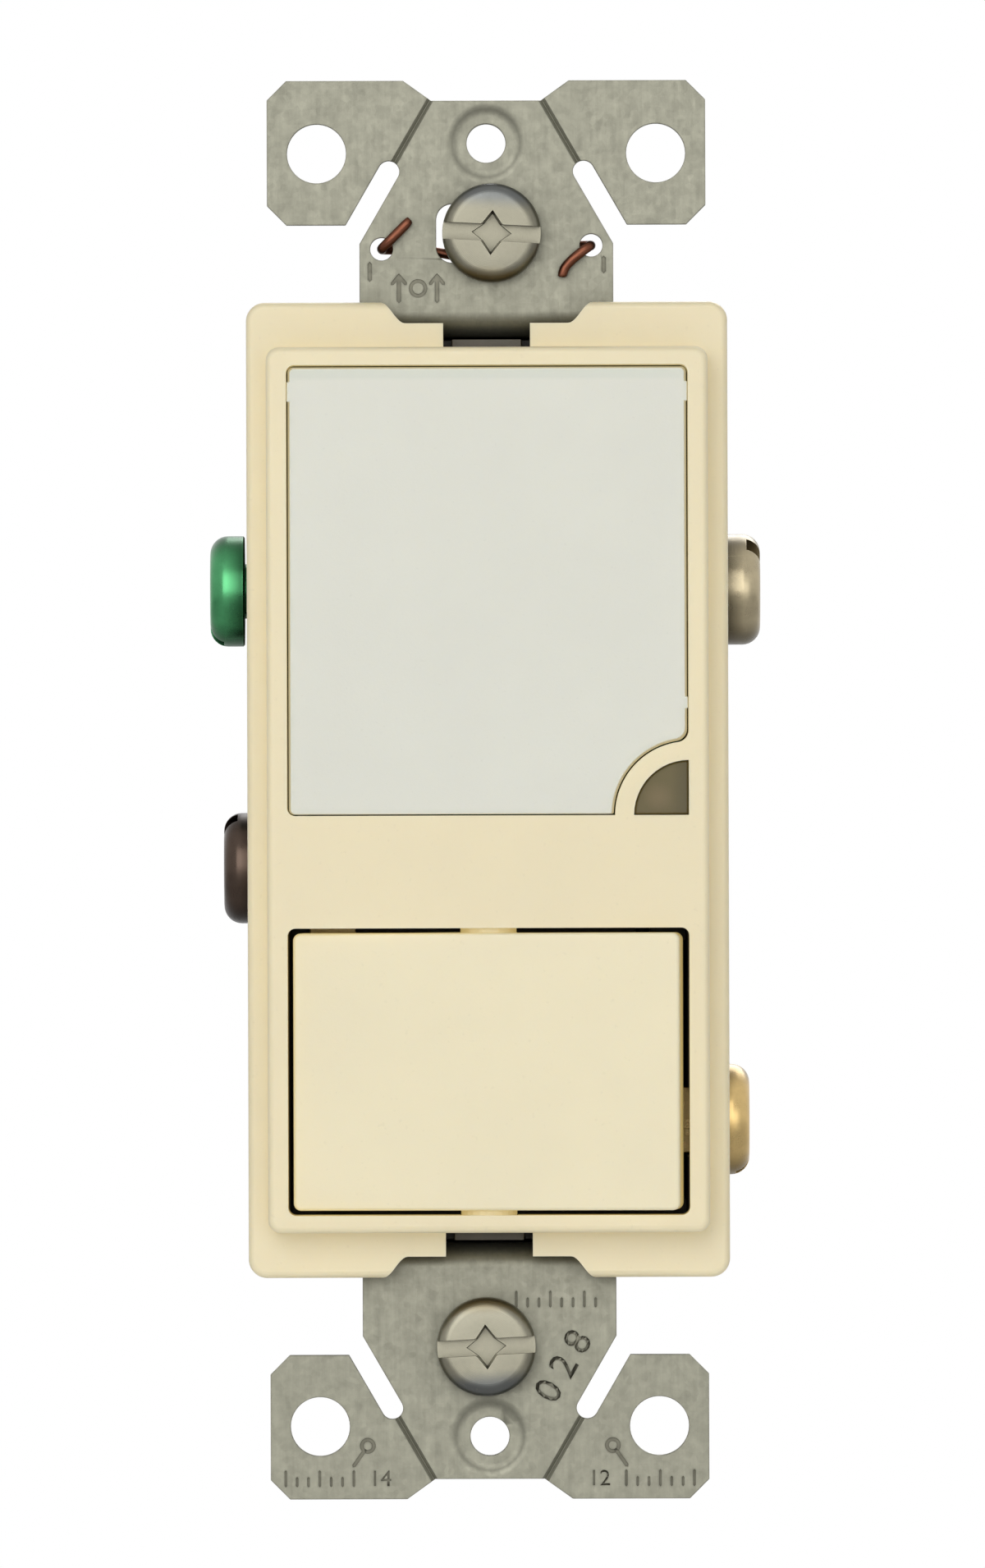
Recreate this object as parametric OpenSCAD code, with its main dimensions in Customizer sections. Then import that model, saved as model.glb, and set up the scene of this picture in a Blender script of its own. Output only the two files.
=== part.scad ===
// Combination wall device of decorator size: a frosted night light with a light-sensing window
// above a single-pole rocker switch, in a moulded cover on a wrap-around steel strap.
// X runs across the device, +Z up the wall and -Y out into the room. Y = 0 is the wall plane,
// where the backs of the strap's ears rest, and Z = 0 is midway between the box screws.

/* [Strap] */
// Thickness of the strap's steel
strap_t = 1.3; // [1:0.1:1.5]
// Distance between the two box screws
box_screw_pitch = 83.34; // [83:0.02:83.6]
// Distance from a box screw out to the tapped hole for the wall plate's screw
plate_screw_reach = 6.75; // [6.6:0.01:6.9]
// Diameter of those tapped holes
plate_screw_d = 2.92; // [2.7:0.02:3]
// Wall of the collar drawn behind each tapped hole
collar_wall = 1.1; // [0.9:0.05:1.3]
// Width of the dimple round each tapped hole
dimple_wall = 1.6; // [1.4:0.1:1.8]
// Distance from a box screw out to the line of the ear holes
ear_hole_reach = 5.98; // [5.8:0.02:6.1]
// Distance between the ear holes across the device
ear_hole_pitch = 25.4; // [25:0.1:25.8]
// Diameter of the plain hole in each ear
ear_hole_d = 4.42; // [3.8:0.02:4.6]
// Distance from an ear hole's centre to the end of the ear
ear_end = 5.45; // [5.2:0.05:5.8]
// Distance from an ear hole's centre to the side of the ear
ear_side = 3.72; // [3.6:0.02:4.2]
// Height of one ear
ear_h = 10.8; // [10:0.2:11.4]
// Corner chamfer of the ears
ear_chamfer = 1.45; // [0.8:0.05:2]
// Width of the slot that sets an ear off from the strip
ear_slot_w = 1.6; // [1.2:0.1:1.8]
// Width of the centre strip, the legs and the back band
strip_w = 19; // [17:0.2:19.4]
// Length of the slot for the upper box screw
slot_len_top = 7.5; // [6.6:0.1:8.2]
// Length of the slot for the lower box screw
slot_len_bottom = 6.3; // [5.4:0.1:6.6]
// Height of both slots
slot_h = 4.4; // [3.8:0.1:4.6]
// Corner radius of both slots
slot_corner = 1.2; // [0.8:0.1:1.6]
// Diameter of the two holes that the ground clip hooks through
clip_hole_d = 1.7; // [1.5:0.05:1.9]
// Distance between those holes
clip_hole_pitch = 15.7; // [15.4:0.1:15.9]
// Distance from the upper box screw in to those holes
clip_hole_drop = 1.17; // [1:0.01:1.3]
// Diameter of the ground clip's wire
clip_wire_d = 0.78; // [0.5:0.02:0.8]
// Height of the right hole above the left one
clip_hole_rise = 0.25; // [0:0.05:0.4]
// Distance that the clip's ends reach sideways over the strap
clip_reach = 2.2; // [1.6:0.1:2.6]
// Inside radius of every bend in the steel
bend_r = 0.6; // [0.4:0.05:0.8]

/* [Cover] */
// Width of the raised face, which fills a wall plate's opening, and of the housing
face_w = 33; // [32.8:0.1:33.2]
// Width of the shoulder at each side of the raised face
shoulder_side = 1.5; // [1.3:0.1:2]
// Width of the shoulder at each end of the raised face
shoulder_end = 3.4; // [3:0.1:3.6]
// Distance from a box screw in to the cover's end
cover_clear = 5.2; // [4.9:0.02:5.4]
// Thickness of the shoulder
shoulder_t = 2.4; // [2:0.1:2.8]
// Corner radius of the shoulder
shoulder_corner = 1.4; // [1.2:0.1:2]
// Height of the raised face above the shoulder
face_rise = 3.4; // [3:0.1:3.8]
// Corner radius of the raised face
face_corner = 1; // [1:0.1:1.4]
// Radius that rounds the cover's front edges
edge_r = 0.5; // [0.3:0.05:0.5]
// Wall between the face's sides and the openings
wall_side = 1.5; // [1.4:0.05:1.7]
// Wall between the face's top edge and the lens opening
wall_top = 1.34; // [1.2:0.02:1.5]
// Wall between the rocker opening and the face's bottom edge
wall_bottom = 1.3; // [1.25:0.05:1.5]
// Corner radius of both openings
opening_corner = 0.6; // [0.5:0.05:1]
// Height of the rocker opening
rocker_open_h = 21.45; // [20.8:0.05:21.6]
// Height of the band between the openings
band_h = 8.4; // [8.2:0.1:9]
// Thickness of the band's front wall
band_t = 2.2; // [1.8:0.1:2.6]
// Radius of the sensor window
window_r = 4.1; // [3.6:0.1:4.2]
// Thickness of the sensor window
window_t = 2.9; // [2.4:0.1:3.2]
// Depth of the sensor window behind the cover's face
window_sink = 0.5; // [0.3:0.1:0.7]
// Thickness of the arch round the sensor window
arch_t = 1.4; // [1.2:0.1:1.6]
// Radius of the fillet between the arch and the opening's side
arch_tip_r = 0.9; // [0.6:0.1:1.2]
// Width of a notch in the cover's end
notch_w = 6.5; // [6:0.1:7]
// Width of the notch's wider mouth along its floor
mouth_w = 12.2; // [11:0.2:12.4]
// Width of the mouth where it leaves the cover
mouth_top_w = 15.9; // [15:0.1:16.4]
// Depth of the mouth
mouth_depth = 1.57; // [1.4:0.01:2]
// Width of a latch finger
latch_w = 4; // [3.6:0.1:4.4]
// Thickness of a latch finger
latch_t = 0.9; // [0.8:0.1:1]
// Length of a latch finger
latch_len = 7; // [6.4:0.2:7.6]
// Width of the window in a latch finger
latch_window_w = 2.4; // [2:0.1:2.6]
// Frame left round that window at the finger's tip
latch_tip = 1.3; // [1.1:0.1:1.5]
// Height of the upper latches above the neutral screw
latch_rise = 11.4; // [11:0.1:12]

/* [Rocker] */
// Tilt of the rocker either side of square
rocker_tilt = 4; // [3:0.25:4.5]
// Gap at each side of the rocker when it is square
rocker_side_gap = 0.55; // [0.45:0.05:0.8]
// Gap at each end of the rocker
rocker_end_gap = 0.375; // [0.3:0.025:0.5]
// Depth of the pivot behind the rocker's face
pivot_depth = 2.75; // [2.6:0.05:3]
// Diameter of the pivot pins
pivot_d = 4.2; // [3.8:0.1:4.4]
// Length of a pivot pin in its bearing
pivot_len = 0.8; // [0.7:0.05:1]
// Thickness of the rocker's walls
rocker_wall = 1.4; // [1.2:0.1:1.6]
// Corner radius of the rocker
rocker_corner = 0.55; // [0.5:0.05:0.9]
// Rounding of the rocker's front edge
rocker_edge_r = 0.25; // [0.15:0.05:0.25]
// Depth of the rocker's rim
rocker_depth = 4.6; // [4.2:0.1:4.8]
// Thickness of the rib on each side of the post
rib_t = 1.2; // [1:0.1:1.4]
// Outside diameter of the post that carries the plunger
post_d = 6; // [5.6:0.1:6.6]
// Distance from the pivot to the post's end
post_reach = 8.4; // [8:0.1:8.8]
// Front wall left ahead of the post's bore
post_floor = 2.2; // [1.8:0.1:2.6]
// Outside diameter of the plunger
plunger_d = 3.6; // [3.2:0.1:3.8]
// Length of the plunger
plunger_len = 9.2; // [8.6:0.1:9.6]
// Thickness of the plunger's wall
plunger_wall = 0.5; // [0.4:0.05:0.6]
// Diameter of the spring's wire
spring_wire = 0.45; // [0.35:0.05:0.5]
// Number of turns in the spring
spring_turns = 7; // [6:1:8]

/* [Lens] */
// Gap round the lens
lens_gap = 0.25; // [0.2:0.05:0.35]
// Thickness of the lens's front
lens_t = 1.5; // [1.2:0.1:1.8]
// Depth of the lens, front to rim
lens_depth = 3.6; // [3:0.1:4]
// Thickness of the lens's rim
lens_rim = 1; // [0.8:0.1:1.2]
// Depth of the lens's front behind the cover's face
lens_sink = 0.15; // [0.1:0.05:0.3]
// Corner radius of the lens
lens_corner = 0.4; // [0.2:0.1:0.6]

/* [Housing] */
// Depth of the rear housing behind the wall plane
housing_depth = 25.4; // [24.6:0.1:27]
// Ledge of the housing past each end of the raised face
housing_ledge = 0.65; // [0.5:0.05:0.8]
// Wall of the rear housing
housing_wall = 1.6; // [1.5:0.1:1.8]
// Corner radius of the rear housing
housing_corner = 1.5; // [1.2:0.1:1.6]
// Chamfer round the housing's back
housing_chamfer = 0.9; // [0.6:0.1:1.1]
// Wall between the lamp chamber and the switch chamber
partition_t = 1.5; // [1.2:0.1:1.6]
// Distance from the assembly screws' axis down to that wall
partition_drop = 2.6; // [2.4:0.1:2.8]
// Distance between the two assembly screws
post_pitch = 13; // [12:0.2:13.4]
// Diameter of the posts and bosses that the assembly screws pass through
boss_d = 5.4; // [5:0.1:5.6]
// Depth behind the wall plane at which the posts meet the bosses
post_back = 8; // [7.6:0.1:8.4]

/* [Terminals] */
// Thickness of the brass
brass_t = 0.9; // [0.8:0.1:1]
// Width of a terminal's outer plate
terminal_w = 9.5; // [9:0.1:9.8]
// Length of a terminal's outer plate behind its screw
terminal_end = 5.5; // [5:0.1:5.8]
// Width of the neck that joins the outer plate to the inner strip
terminal_neck_w = 5; // [4.6:0.1:5.4]
// Depth that a terminal's outer plate is let into the housing's side
terminal_inset = 0.5; // [0.3:0.05:0.6]
// Depth of the terminal screws' axes behind the wall plane
terminal_y = 15; // [14.6:0.1:15.6]
// Depth of the front of the inner brass strips behind the wall plane
strip_y = 11.1; // [10.9:0.1:11.4]
// Width of the load terminal's inner strip
load_strip_w = 3.5; // [3.2:0.1:3.8]
// Distance from the housing's inner side to the load terminal's strip
load_inset = 1.4; // [1.2:0.1:1.6]
// Distance that the neutral terminal's neck reaches into the housing
neutral_reach = 2.5; // [2.2:0.1:2.8]
// Width of the strap's side tab, which carries the ground screw
tab_w = 10; // [9:0.2:10.4]
// Distance from the ground screw to the tab's free end
tab_len = 6; // [5.4:0.2:6.4]
// Height of the ground screw above the assembly screws
ground_up = 21.17; // [20.4:0.01:21.4]
// Height of the neutral screw above the assembly screws
neutral_up = 21.2; // [20.4:0.1:21.4]
// Height of the load screw above the assembly screws
load_up = 0.25; // [0:0.05:0.4]
// Distance of the line screw below the assembly screws
line_down = 18.83; // [18:0.01:19]
// Distance that the ground screw stands backed out
ground_back_out = 0.43; // [0.1:0.01:1]
// Distance that the neutral screw stands backed out
neutral_back_out = 1.1; // [0.4:0.05:1.2]
// Distance that the line screw stands backed out
line_back_out = 0.17; // [0.1:0.01:1]
// Distance that the load screw stands backed out
load_back_out = 0.45; // [0.1:0.01:1]

/* [Screws] */
// Diameter of a terminal screw's head
terminal_head_d = 8.35; // [8:0.05:8.8]
// Height of a terminal screw's head
terminal_head_h = 2.6; // [2.2:0.1:2.8]
// Rounding of a terminal screw's head
terminal_head_r = 1.35; // [1:0.05:1.5]
// Diameter of a terminal screw's shank
terminal_shank_d = 4.16; // [3.9:0.02:4.2]
// Length of a terminal screw's shank
terminal_shank_len = 6.5; // [6:0.1:6.8]
// Diameter of a box screw's head
box_head_d = 7.4; // [7.2:0.1:7.8]
// Height of a box screw's head
box_head_h = 2.2; // [2:0.1:2.4]
// Rounding of a box screw's head
box_head_r = 0.95; // [0.7:0.05:1.2]
// Angle that the upper box screw's slot is turned by
box_turn_top = 3; // [-10:1:10]
// Angle that the lower box screw's slot is turned by
box_turn_bottom = -3; // [-10:1:10]
// Diameter of a box screw's shank
box_shank_d = 3.5; // [3.4:0.05:3.6]
// Length of a box screw's shank
box_shank_len = 25.4; // [20:0.2:30]
// Diameter of the plain neck behind a box screw's head
box_neck_d = 3; // [2.8:0.05:3.2]
// Length of that neck
box_neck_len = 3.5; // [3.4:0.1:4]
// Diameter of the box screws' washers
washer_d = 7; // [6.6:0.1:7.2]
// Thickness of the box screws' washers
washer_t = 0.8; // [0.6:0.1:1]
// Depth of the upper washer behind the strap
washer_back_top = 0.9; // [0.1:0.05:1]
// Depth of the lower washer behind the strap
washer_back_bottom = 0.15; // [0.1:0.05:1]
// Sideways place of the upper box screw in its slot
box_shift_top = 0.4; // [0:0.05:0.6]
// Sideways place of the lower box screw in its slot
box_shift_bottom = -0.25; // [-0.4:0.05:0]
// Diameter of an assembly screw's shank
assembly_d = 2.8; // [2.6:0.05:2.9]
// Diameter of an assembly screw's head
assembly_head_d = 5.4; // [5:0.1:5.8]
// Height of an assembly screw's head
assembly_head_h = 1.6; // [1.4:0.1:1.8]
// Rounding of an assembly screw's head
assembly_head_r = 0.6; // [0.4:0.1:0.8]
// Length of an assembly screw's thread in the cover's post
assembly_bite = 6; // [5:0.2:6.6]

/* [Contacts] */
// Turn of the contact arm for each degree of the rocker
arm_ratio = 1.5; // [1.25:0.25:1.5]
// Width of the contact arm
arm_w = 7; // [6.4:0.2:7.2]
// Thickness of the contact arm
arm_t = 0.9; // [0.8:0.1:1]
// Diameter of the contact arm's pivot pin
arm_pin_d = 1; // [0.9:0.1:1.2]
// Distance from the housing's side to the contacts
contact_inset = 7; // [6.7:0.1:7.3]
// Distance from the arm's pivot to its free end
arm_tail = 4.5; // [4:0.1:5]
// Diameter of the moving contact
contact_d = 3.2; // [2.8:0.1:3.4]
// Height of the moving contact above the arm
contact_h = 0.7; // [0.6:0.1:0.9]
// Radius of the moving contact's dome
contact_dome_r = 6; // [5:0.5:8]
// Width of the fixed contact's rim past the moving one
contact_rim = 0.2; // [0.1:0.05:0.3]
// Distance from the rocker's pivot to the contact arm's pivot
arm_pivot_reach = 12.3; // [12.2:0.05:12.4]
// Thickness of the cradle's ears
cradle_t = 0.9; // [0.8:0.1:1]
// Width of the cradle's ears
cradle_w = 6; // [5.4:0.2:6.6]

/* [Night light] */
// Thickness of the circuit board
board_t = 1.6; // [1.2:0.1:1.6]
// Side of the square pillars that carry the board
pillar_w = 3.2; // [2.8:0.1:3.4]
// Diameter of the pegs that fix the board
peg_d = 1.4; // [1.2:0.1:1.6]
// Distance between the board's front and the front of the brass strips
board_ahead = 2.7; // [2.5:0.1:2.9]
// Diameter of a light emitter
led_d = 3; // [2.6:0.1:3.2]
// Height of a light emitter's body under its dome
led_h = 2; // [1.6:0.1:2.4]
// Thickness of a light emitter's flange
led_flange_t = 0.8; // [0.6:0.1:1]
// Width of a light emitter's flange
led_flange_w = 0.3; // [0.2:0.1:0.4]
// Distance between the light emitters
led_pitch = 8; // [7:0.5:9]
// Wall of the reflector box
box_wall = 1; // [0.8:0.1:1.2]
// Distance from the lens opening's edge in to the reflector box
box_inset = 1; // [0.8:0.1:1.2]
// Diameter of the photocell
cell_d = 3.4; // [3:0.1:3.6]
// Height of the photocell
cell_h = 2.2; // [2:0.1:2.6]
// Wall of the tube that shields the photocell
shroud_wall = 0.4; // [0.3:0.05:0.5]
// Diameter of the resistor
resistor_d = 3.2; // [2.8:0.1:3.4]
// Length of the resistor
resistor_len = 9; // [8:0.5:9.5]
// Height of the resistor above the board's lower edge
resistor_up = 9.3; // [9:0.1:9.6]
// Width of the film capacitor
film_w = 15; // [13:0.5:15]
// Height of the film capacitor
film_h = 7.6; // [7:0.2:8]
// Height of the film capacitor's middle above the board's lower edge
film_up = 27.1; // [26.8:0.1:27.2]
// Room between the film capacitor and the housing's floor
film_clear = 3.8; // [3:0.2:5]
// Diameter of the filter capacitor
filter_d = 6.3; // [5:0.1:6.3]
// Height of the filter capacitor above the board's lower edge
filter_up = 16.7; // [16.4:0.1:17]
// Room between the filter capacitor and the housing's floor
filter_clear = 2.5; // [2:0.2:4]
// Diameter of a diode
diode_d = 2.6; // [2.2:0.1:2.8]
// Length of a diode
diode_len = 3.8; // [3.4:0.1:4]
// Gap between the diodes in their row
diode_gap = 0.8; // [0.6:0.1:1]
// Height of the diodes above the board's lower edge
diode_up = 3.7; // [3.4:0.1:3.8]
// Diameter of the transistor
transistor_d = 4.6; // [4:0.1:4.8]
// Height of the transistor off the board
transistor_h = 5.5; // [5:0.1:6]
// Height of the transistor above the board's lower edge
transistor_up = 10.3; // [10:0.1:10.6]
// Diameter of the leads over their insulation
lead_d = 1.2; // [1:0.1:1.3]
// Distance from the housing's inner side to the line lead
lead_inset = 3.3; // [3:0.1:3.5]
// Distance that the line lead bends in to reach the board
lead_bend = 1.8; // [1.6:0.1:2]

/* [Fits] */
// Radial gap of a pin, shank or plunger in its hole
running_gap = 0.05; // [0.03:0.01:0.08]
// Gap between pieces that lie side by side
seat_gap = 0.1; // [0.06:0.02:0.16]
// Gap between the housing's ends and the strap's legs
leg_gap = 0.2; // [0.15:0.05:0.3]
// Gap between the contact arm and each ear of its cradle
cradle_gap = 0.15; // [0.1:0.05:0.2]
// Gap between things that only pass each other
pass_gap = 0.4; // [0.3:0.05:0.5]

/* [Hidden] */
$fn = 48;
over = 0.5; // how far a cutter runs past the surface that it cuts
root = 0.2; // how far a feature is sunk in what carries it

// Places that follow the box screws, and the sizes of the ears
box_screw_z = box_screw_pitch / 2;
plate_screw_z = box_screw_z + plate_screw_reach;
ear_hole_z = box_screw_z + ear_hole_reach;
strap_end_z = ear_hole_z + ear_end;
ear_low = strap_end_z - ear_h;
ear_x = ear_hole_pitch / 2 + ear_side;
collar_d = plate_screw_d + 2 * collar_wall;
dimple_d = plate_screw_d + 2 * dimple_wall;
clip_hole_z = box_screw_z - clip_hole_drop;

// Outlines of the cover and the housing
cover_w = face_w + 2 * shoulder_side;
cover_h = box_screw_pitch - 2 * cover_clear;
face_h = cover_h - 2 * shoulder_end;
opening_w = face_w - 2 * wall_side;
housing_h = face_h + 2 * housing_ledge;

// Places along Y, from the room to the back
strap_front = -strap_t;
shoulder_y = strap_front - shoulder_t;
face_y = shoulder_y - face_rise;
head_seat = strap_front - running_gap;
pivot_y = face_y + pivot_depth;
band_back = face_y + band_t;
lens_front = face_y + lens_sink;
board_y = strip_y - board_ahead;
board_back = board_y + board_t;
deck_y = strip_y + brass_t;
floor_y = housing_depth - housing_wall;

// Places along Z
lens_top = face_h / 2 - wall_top;
rocker_low = -face_h / 2 + wall_bottom;
rocker_top = rocker_low + rocker_open_h;
lens_low = rocker_top + band_h;
lens_mid = (lens_top + lens_low) / 2;
rocker_z = (rocker_top + rocker_low) / 2;
post_z = (rocker_top + lens_low) / 2;
partition_top = post_z - partition_drop;
partition_low = partition_top - partition_t;
chamber_top = housing_h / 2 - housing_wall;
leg_z = housing_h / 2 + leg_gap;
bend_z = leg_z + bend_r + strap_t;
ground_z = post_z + ground_up;
neutral_z = post_z + neutral_up;
load_z = post_z + load_up;
line_z = post_z - line_down;
latch_z = [neutral_z + latch_rise, (load_z + line_z) / 2];
board_low = lens_low - pass_gap;
board_high = chamber_top - pass_gap;

// Places along X
side_x = face_w / 2;
room_x = side_x - housing_wall;
post_x = post_pitch / 2;
plate_in = side_x - terminal_inset;
plate_out = plate_in + brass_t;
tab_in = side_x + seat_gap;
tab_out = tab_in + strap_t;
load_out = -room_x + load_inset;
load_in = load_out + load_strip_w;
lead_x = room_x - lead_inset;
lead_end_x = lead_x - lead_bend;
pillar_x = room_x - pillar_w / 2;

// Rocker, plunger and contact arm
rocker_w = opening_w - 2 * rocker_side_gap;
rocker_h = rocker_open_h - 2 * rocker_end_gap;
post_end = pivot_y + post_reach;
bore_y = face_y + post_floor;
arm_y = pivot_y + arm_pivot_reach;
arm_rest = arm_ratio * rocker_tilt;
tip_y = arm_y - arm_t / 2 - running_gap;
hollow_end = tip_y - plunger_d / 2 - 2 * plunger_wall;
cradle_z = arm_w / 2 + cradle_gap;

contact_reach = side_x - contact_inset;

// Deepest point that the moving contact's dome reaches when the switch is closed
dome_centre = [-contact_reach, arm_t / 2 + contact_h - contact_dome_r];
contact_x = dome_centre[0] * cos(arm_rest) + dome_centre[1] * sin(arm_rest);
contact_y = arm_y + dome_centre[1] * cos(arm_rest) - dome_centre[0] * sin(arm_rest)
    + contact_dome_r + running_gap;

// Light box and sensor
sensor_x = opening_w / 2;
arch_r = window_r + arch_t;
shroud_d = cell_d + 2 * (seat_gap + shroud_wall);
cell_x = room_x - pass_gap - shroud_d / 2;
cell_z = lens_low + 2 * seat_gap + shroud_d / 2;
box_front = lens_front + lens_depth + seat_gap;

ivory = [0.91, 0.87, 0.73];
steel = [0.6, 0.6, 0.54];
brass = [0.8, 0.66, 0.36];
silver = [0.78, 0.78, 0.76];
charcoal = [0.16, 0.16, 0.17];

// ---------------------------------------------------------------- shared shapes

// Plate parallel to the wall: its back is at y_back and it is t thick towards the room.
module slab(y_back, t) {
    translate([0, y_back, 0]) rotate([90, 0, 0]) linear_extrude(t) children();
}

// Profile drawn in Y and Z, pulled along X from x_start over length w.
module pull_x(x_start, w) {
    translate([x_start, 0, 0]) rotate([90, 0, 90]) linear_extrude(w) children();
}

module rounded_rect(w, h, r) {
    square([w - 2 * r, h], center = true);
    square([w, h - 2 * r], center = true);
    for (x = [-1, 1], z = [-1, 1])
        translate([x * (w / 2 - r), z * (h / 2 - r)]) circle(r);
}

// Half of a front edge in section: reach outwards, t high, its outer top corner rounded by r.
module edge_section(reach, t, r) {
    square([reach, t - r]);
    square([reach - r, t]);
    translate([reach - r, t - r]) intersection() {
        circle(r, $fn = 20);
        square(r);
    }
}

// Plate with rounded corners whose front edge is rounded too.
module soft_slab(y_back, t, w, h, corner, r) {
    translate([0, y_back, 0]) rotate([90, 0, 0]) {
        for (i = [0 : 3])
            rotate([0, 0, 90 * i]) {
                long = i % 2 == 0 ? h : w;
                across = i % 2 == 0 ? w : h;
                translate([across / 2 - corner, 0, 0]) {
                    translate([0, long / 2 - corner, 0])
                        rotate_extrude(angle = 90) edge_section(corner, t, r);
                    translate([0, long / 2 - corner, 0]) rotate([90, 0, 0])
                        linear_extrude(long - 2 * corner) edge_section(corner, t, r);
                }
            }
        translate([-w / 2 + corner, -h / 2 + corner, 0])
            cube([w - 2 * corner, h - 2 * corner, t]);
    }
}

// Rod along Y from y_start to y_end.
module rod_y(d, y_start, y_end) {
    translate([0, y_start, 0]) rotate([-90, 0, 0]) cylinder(d = d, h = y_end - y_start);
}

// Rod along X from x_start to x_end.
module rod_x(d, x_start, x_end) {
    translate([x_start, 0, 0]) rotate([0, 90, 0]) cylinder(d = d, h = x_end - x_start);
}

// Box between two corners.
module block(low, high) {
    translate(low) cube(high - low);
}

// Quarter ring in section, in the quadrant of negative first and negative second axis.
module bend_section() {
    intersection() {
        difference() {
            circle(bend_r + strap_t);
            circle(bend_r);
        }
        translate([-bend_r - strap_t, -bend_r - strap_t]) square(bend_r + strap_t);
    }
}

// Round wire that follows points, closed at both ends, with a ring of sides at each point.
function unit(v) = v / norm(v);
function heading(p, i) =
    unit((i < len(p) - 1 ? unit(p[i + 1] - p[i]) : [0, 0, 0]) +
         (i > 0 ? unit(p[i] - p[i - 1]) : [0, 0, 0]));
function first_side(d) = unit(cross(d, abs(d[2]) < 0.8 ? [0, 0, 1] : [1, 0, 0]));
function carried_side(p, i, s) = unit(s - heading(p, i) * (s * heading(p, i)));
function wire_sides(p) = [for (i = 0, s = first_side(heading(p, 0)); i < len(p);
    i = i + 1, s = i < len(p) ? carried_side(p, i, s) : s) s];
module wire(p, d, sides) {
    s = wire_sides(p);
    rings = [for (i = [0 : len(p) - 1]) for (k = [0 : sides - 1])
        let (a = 360 * k / sides, t = cross(heading(p, i), s[i]))
        p[i] + d / 2 * (cos(a) * s[i] + sin(a) * t)];
    walls = [for (i = [0 : len(p) - 2]) for (k = [0 : sides - 1])
        let (a = i * sides + k, b = i * sides + (k + 1) % sides) each
        [[a, b, b + sides], [a, b + sides, a + sides]]];
    start = [for (k = [sides - 1 : -1 : 0]) k];
    end = [for (k = [0 : sides - 1]) (len(p) - 1) * sides + k];
    polyhedron(rings, concat([start], walls, [end]));
}

// Screw along +Z: head underside at z = 0, flat head with a rounded rim above it, shank below
// it. The head takes a flat blade in its slot and a cross blade in the star at its middle.
module screw(head_d, head_h, rim_r, shank_d, shank_len) {
    slot_w = head_d * 0.17;
    star_r = head_d * 0.26;
    difference() {
        union() {
            rotate_extrude() edge_section(head_d / 2, head_h, rim_r);
            translate([0, 0, -shank_len]) cylinder(d = shank_d, h = shank_len + root);
        }
        translate([-head_d, -slot_w / 2, head_h * 0.6]) cube([2 * head_d, slot_w, head_h]);
        translate([0, 0, head_h * 0.4]) linear_extrude(head_h)
            polygon([for (i = [0 : 7]) (i % 2 == 0 ? star_r : star_r * 0.6)
                * [cos(45 * i), sin(45 * i)]]);
    }
}

// Turns what follows with the rocker, which rests tilted.
module rocker_pose() {
    translate([0, pivot_y, 0]) rotate([0, 0, -rocker_tilt]) translate([0, -pivot_y, 0]) children();
}

// Turns what follows with the contact arm, which rests tilted the other way.
module arm_pose() {
    translate([0, arm_y, rocker_z]) rotate([0, 0, arm_rest]) children();
}

// ---------------------------------------------------------------- cover, rocker and lens

// Cut-out in the shoulder's end, where the strap dives under the cover. The sides of its mouth
// are S-curves.
module end_notch_2d() {
    mouth_z = cover_h / 2 - mouth_depth;
    flare = (mouth_top_w - mouth_w) / 2;
    steps = 10;
    side = [for (i = [0 : steps]) [mouth_w / 2 + flare * i / steps,
        mouth_z + mouth_depth * (1 - cos(180 * i / steps)) / 2]];
    far = [mouth_top_w / 2, cover_h / 2 + over];
    translate([-notch_w / 2, face_h / 2]) square([notch_w, shoulder_end + over]);
    polygon(concat(side, [far, [-far[0], far[1]]],
        [for (i = [steps : -1 : 0]) [-side[i][0], side[i][1]]]));
}

// Outline of the lens opening, or of what fits in it: a rectangle that the sensor's arch takes
// a corner from. It is inset all round, by low_inset along its lower edge.
module lens_outline_2d(inset, low_inset, corner) {
    w = opening_w - 2 * inset;
    h = lens_top - lens_low - inset - low_inset;
    arch = arch_r + inset;
    sensor = [sensor_x, lens_low];
    // centre of the rounding between the arch and the right side, seen from the sensor
    tip = [-inset - arch_tip_r, sqrt(pow(arch + arch_tip_r, 2) - pow(inset + arch_tip_r, 2))];
    lean = atan2(tip[1], tip[0]);
    steps = 24;
    difference() {
        translate([0, lens_mid + (low_inset - inset) / 2]) rounded_rect(w, h, corner);
        polygon(concat([sensor + [over, -over], sensor + [-arch, -over]],
            [for (i = [0 : steps]) let (a = 180 + (lean - 180) * i / steps)
                sensor + arch * [cos(a), sin(a)]],
            [for (i = [1 : steps / 3]) let (a = (lean - 180) * (1 - 3 * i / steps))
                sensor + tip + arch_tip_r * [cos(a), sin(a)]],
            [sensor + [over, tip[1]]]));
    }
}

// Quarter disc in the corner between the lens opening's right side and its lower edge.
module window_2d(gap) {
    intersection() {
        translate([sensor_x, lens_low]) circle(window_r - gap);
        translate([sensor_x - gap - 2 * window_r, lens_low + gap]) square(2 * window_r);
    }
}

// Flexible finger at x > 0 that hooks over a wedge on the housing's side.
module latch_finger(z) {
    difference() {
        block([side_x - latch_t, strap_front - root, z - latch_w / 2],
            [side_x, strap_front + latch_len, z + latch_w / 2]);
        block([side_x - 2 * latch_t, strap_front + latch_len / 3, z - latch_window_w / 2],
            [side_x + over, strap_front + latch_len - latch_tip, z + latch_window_w / 2]);
    }
}

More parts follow.
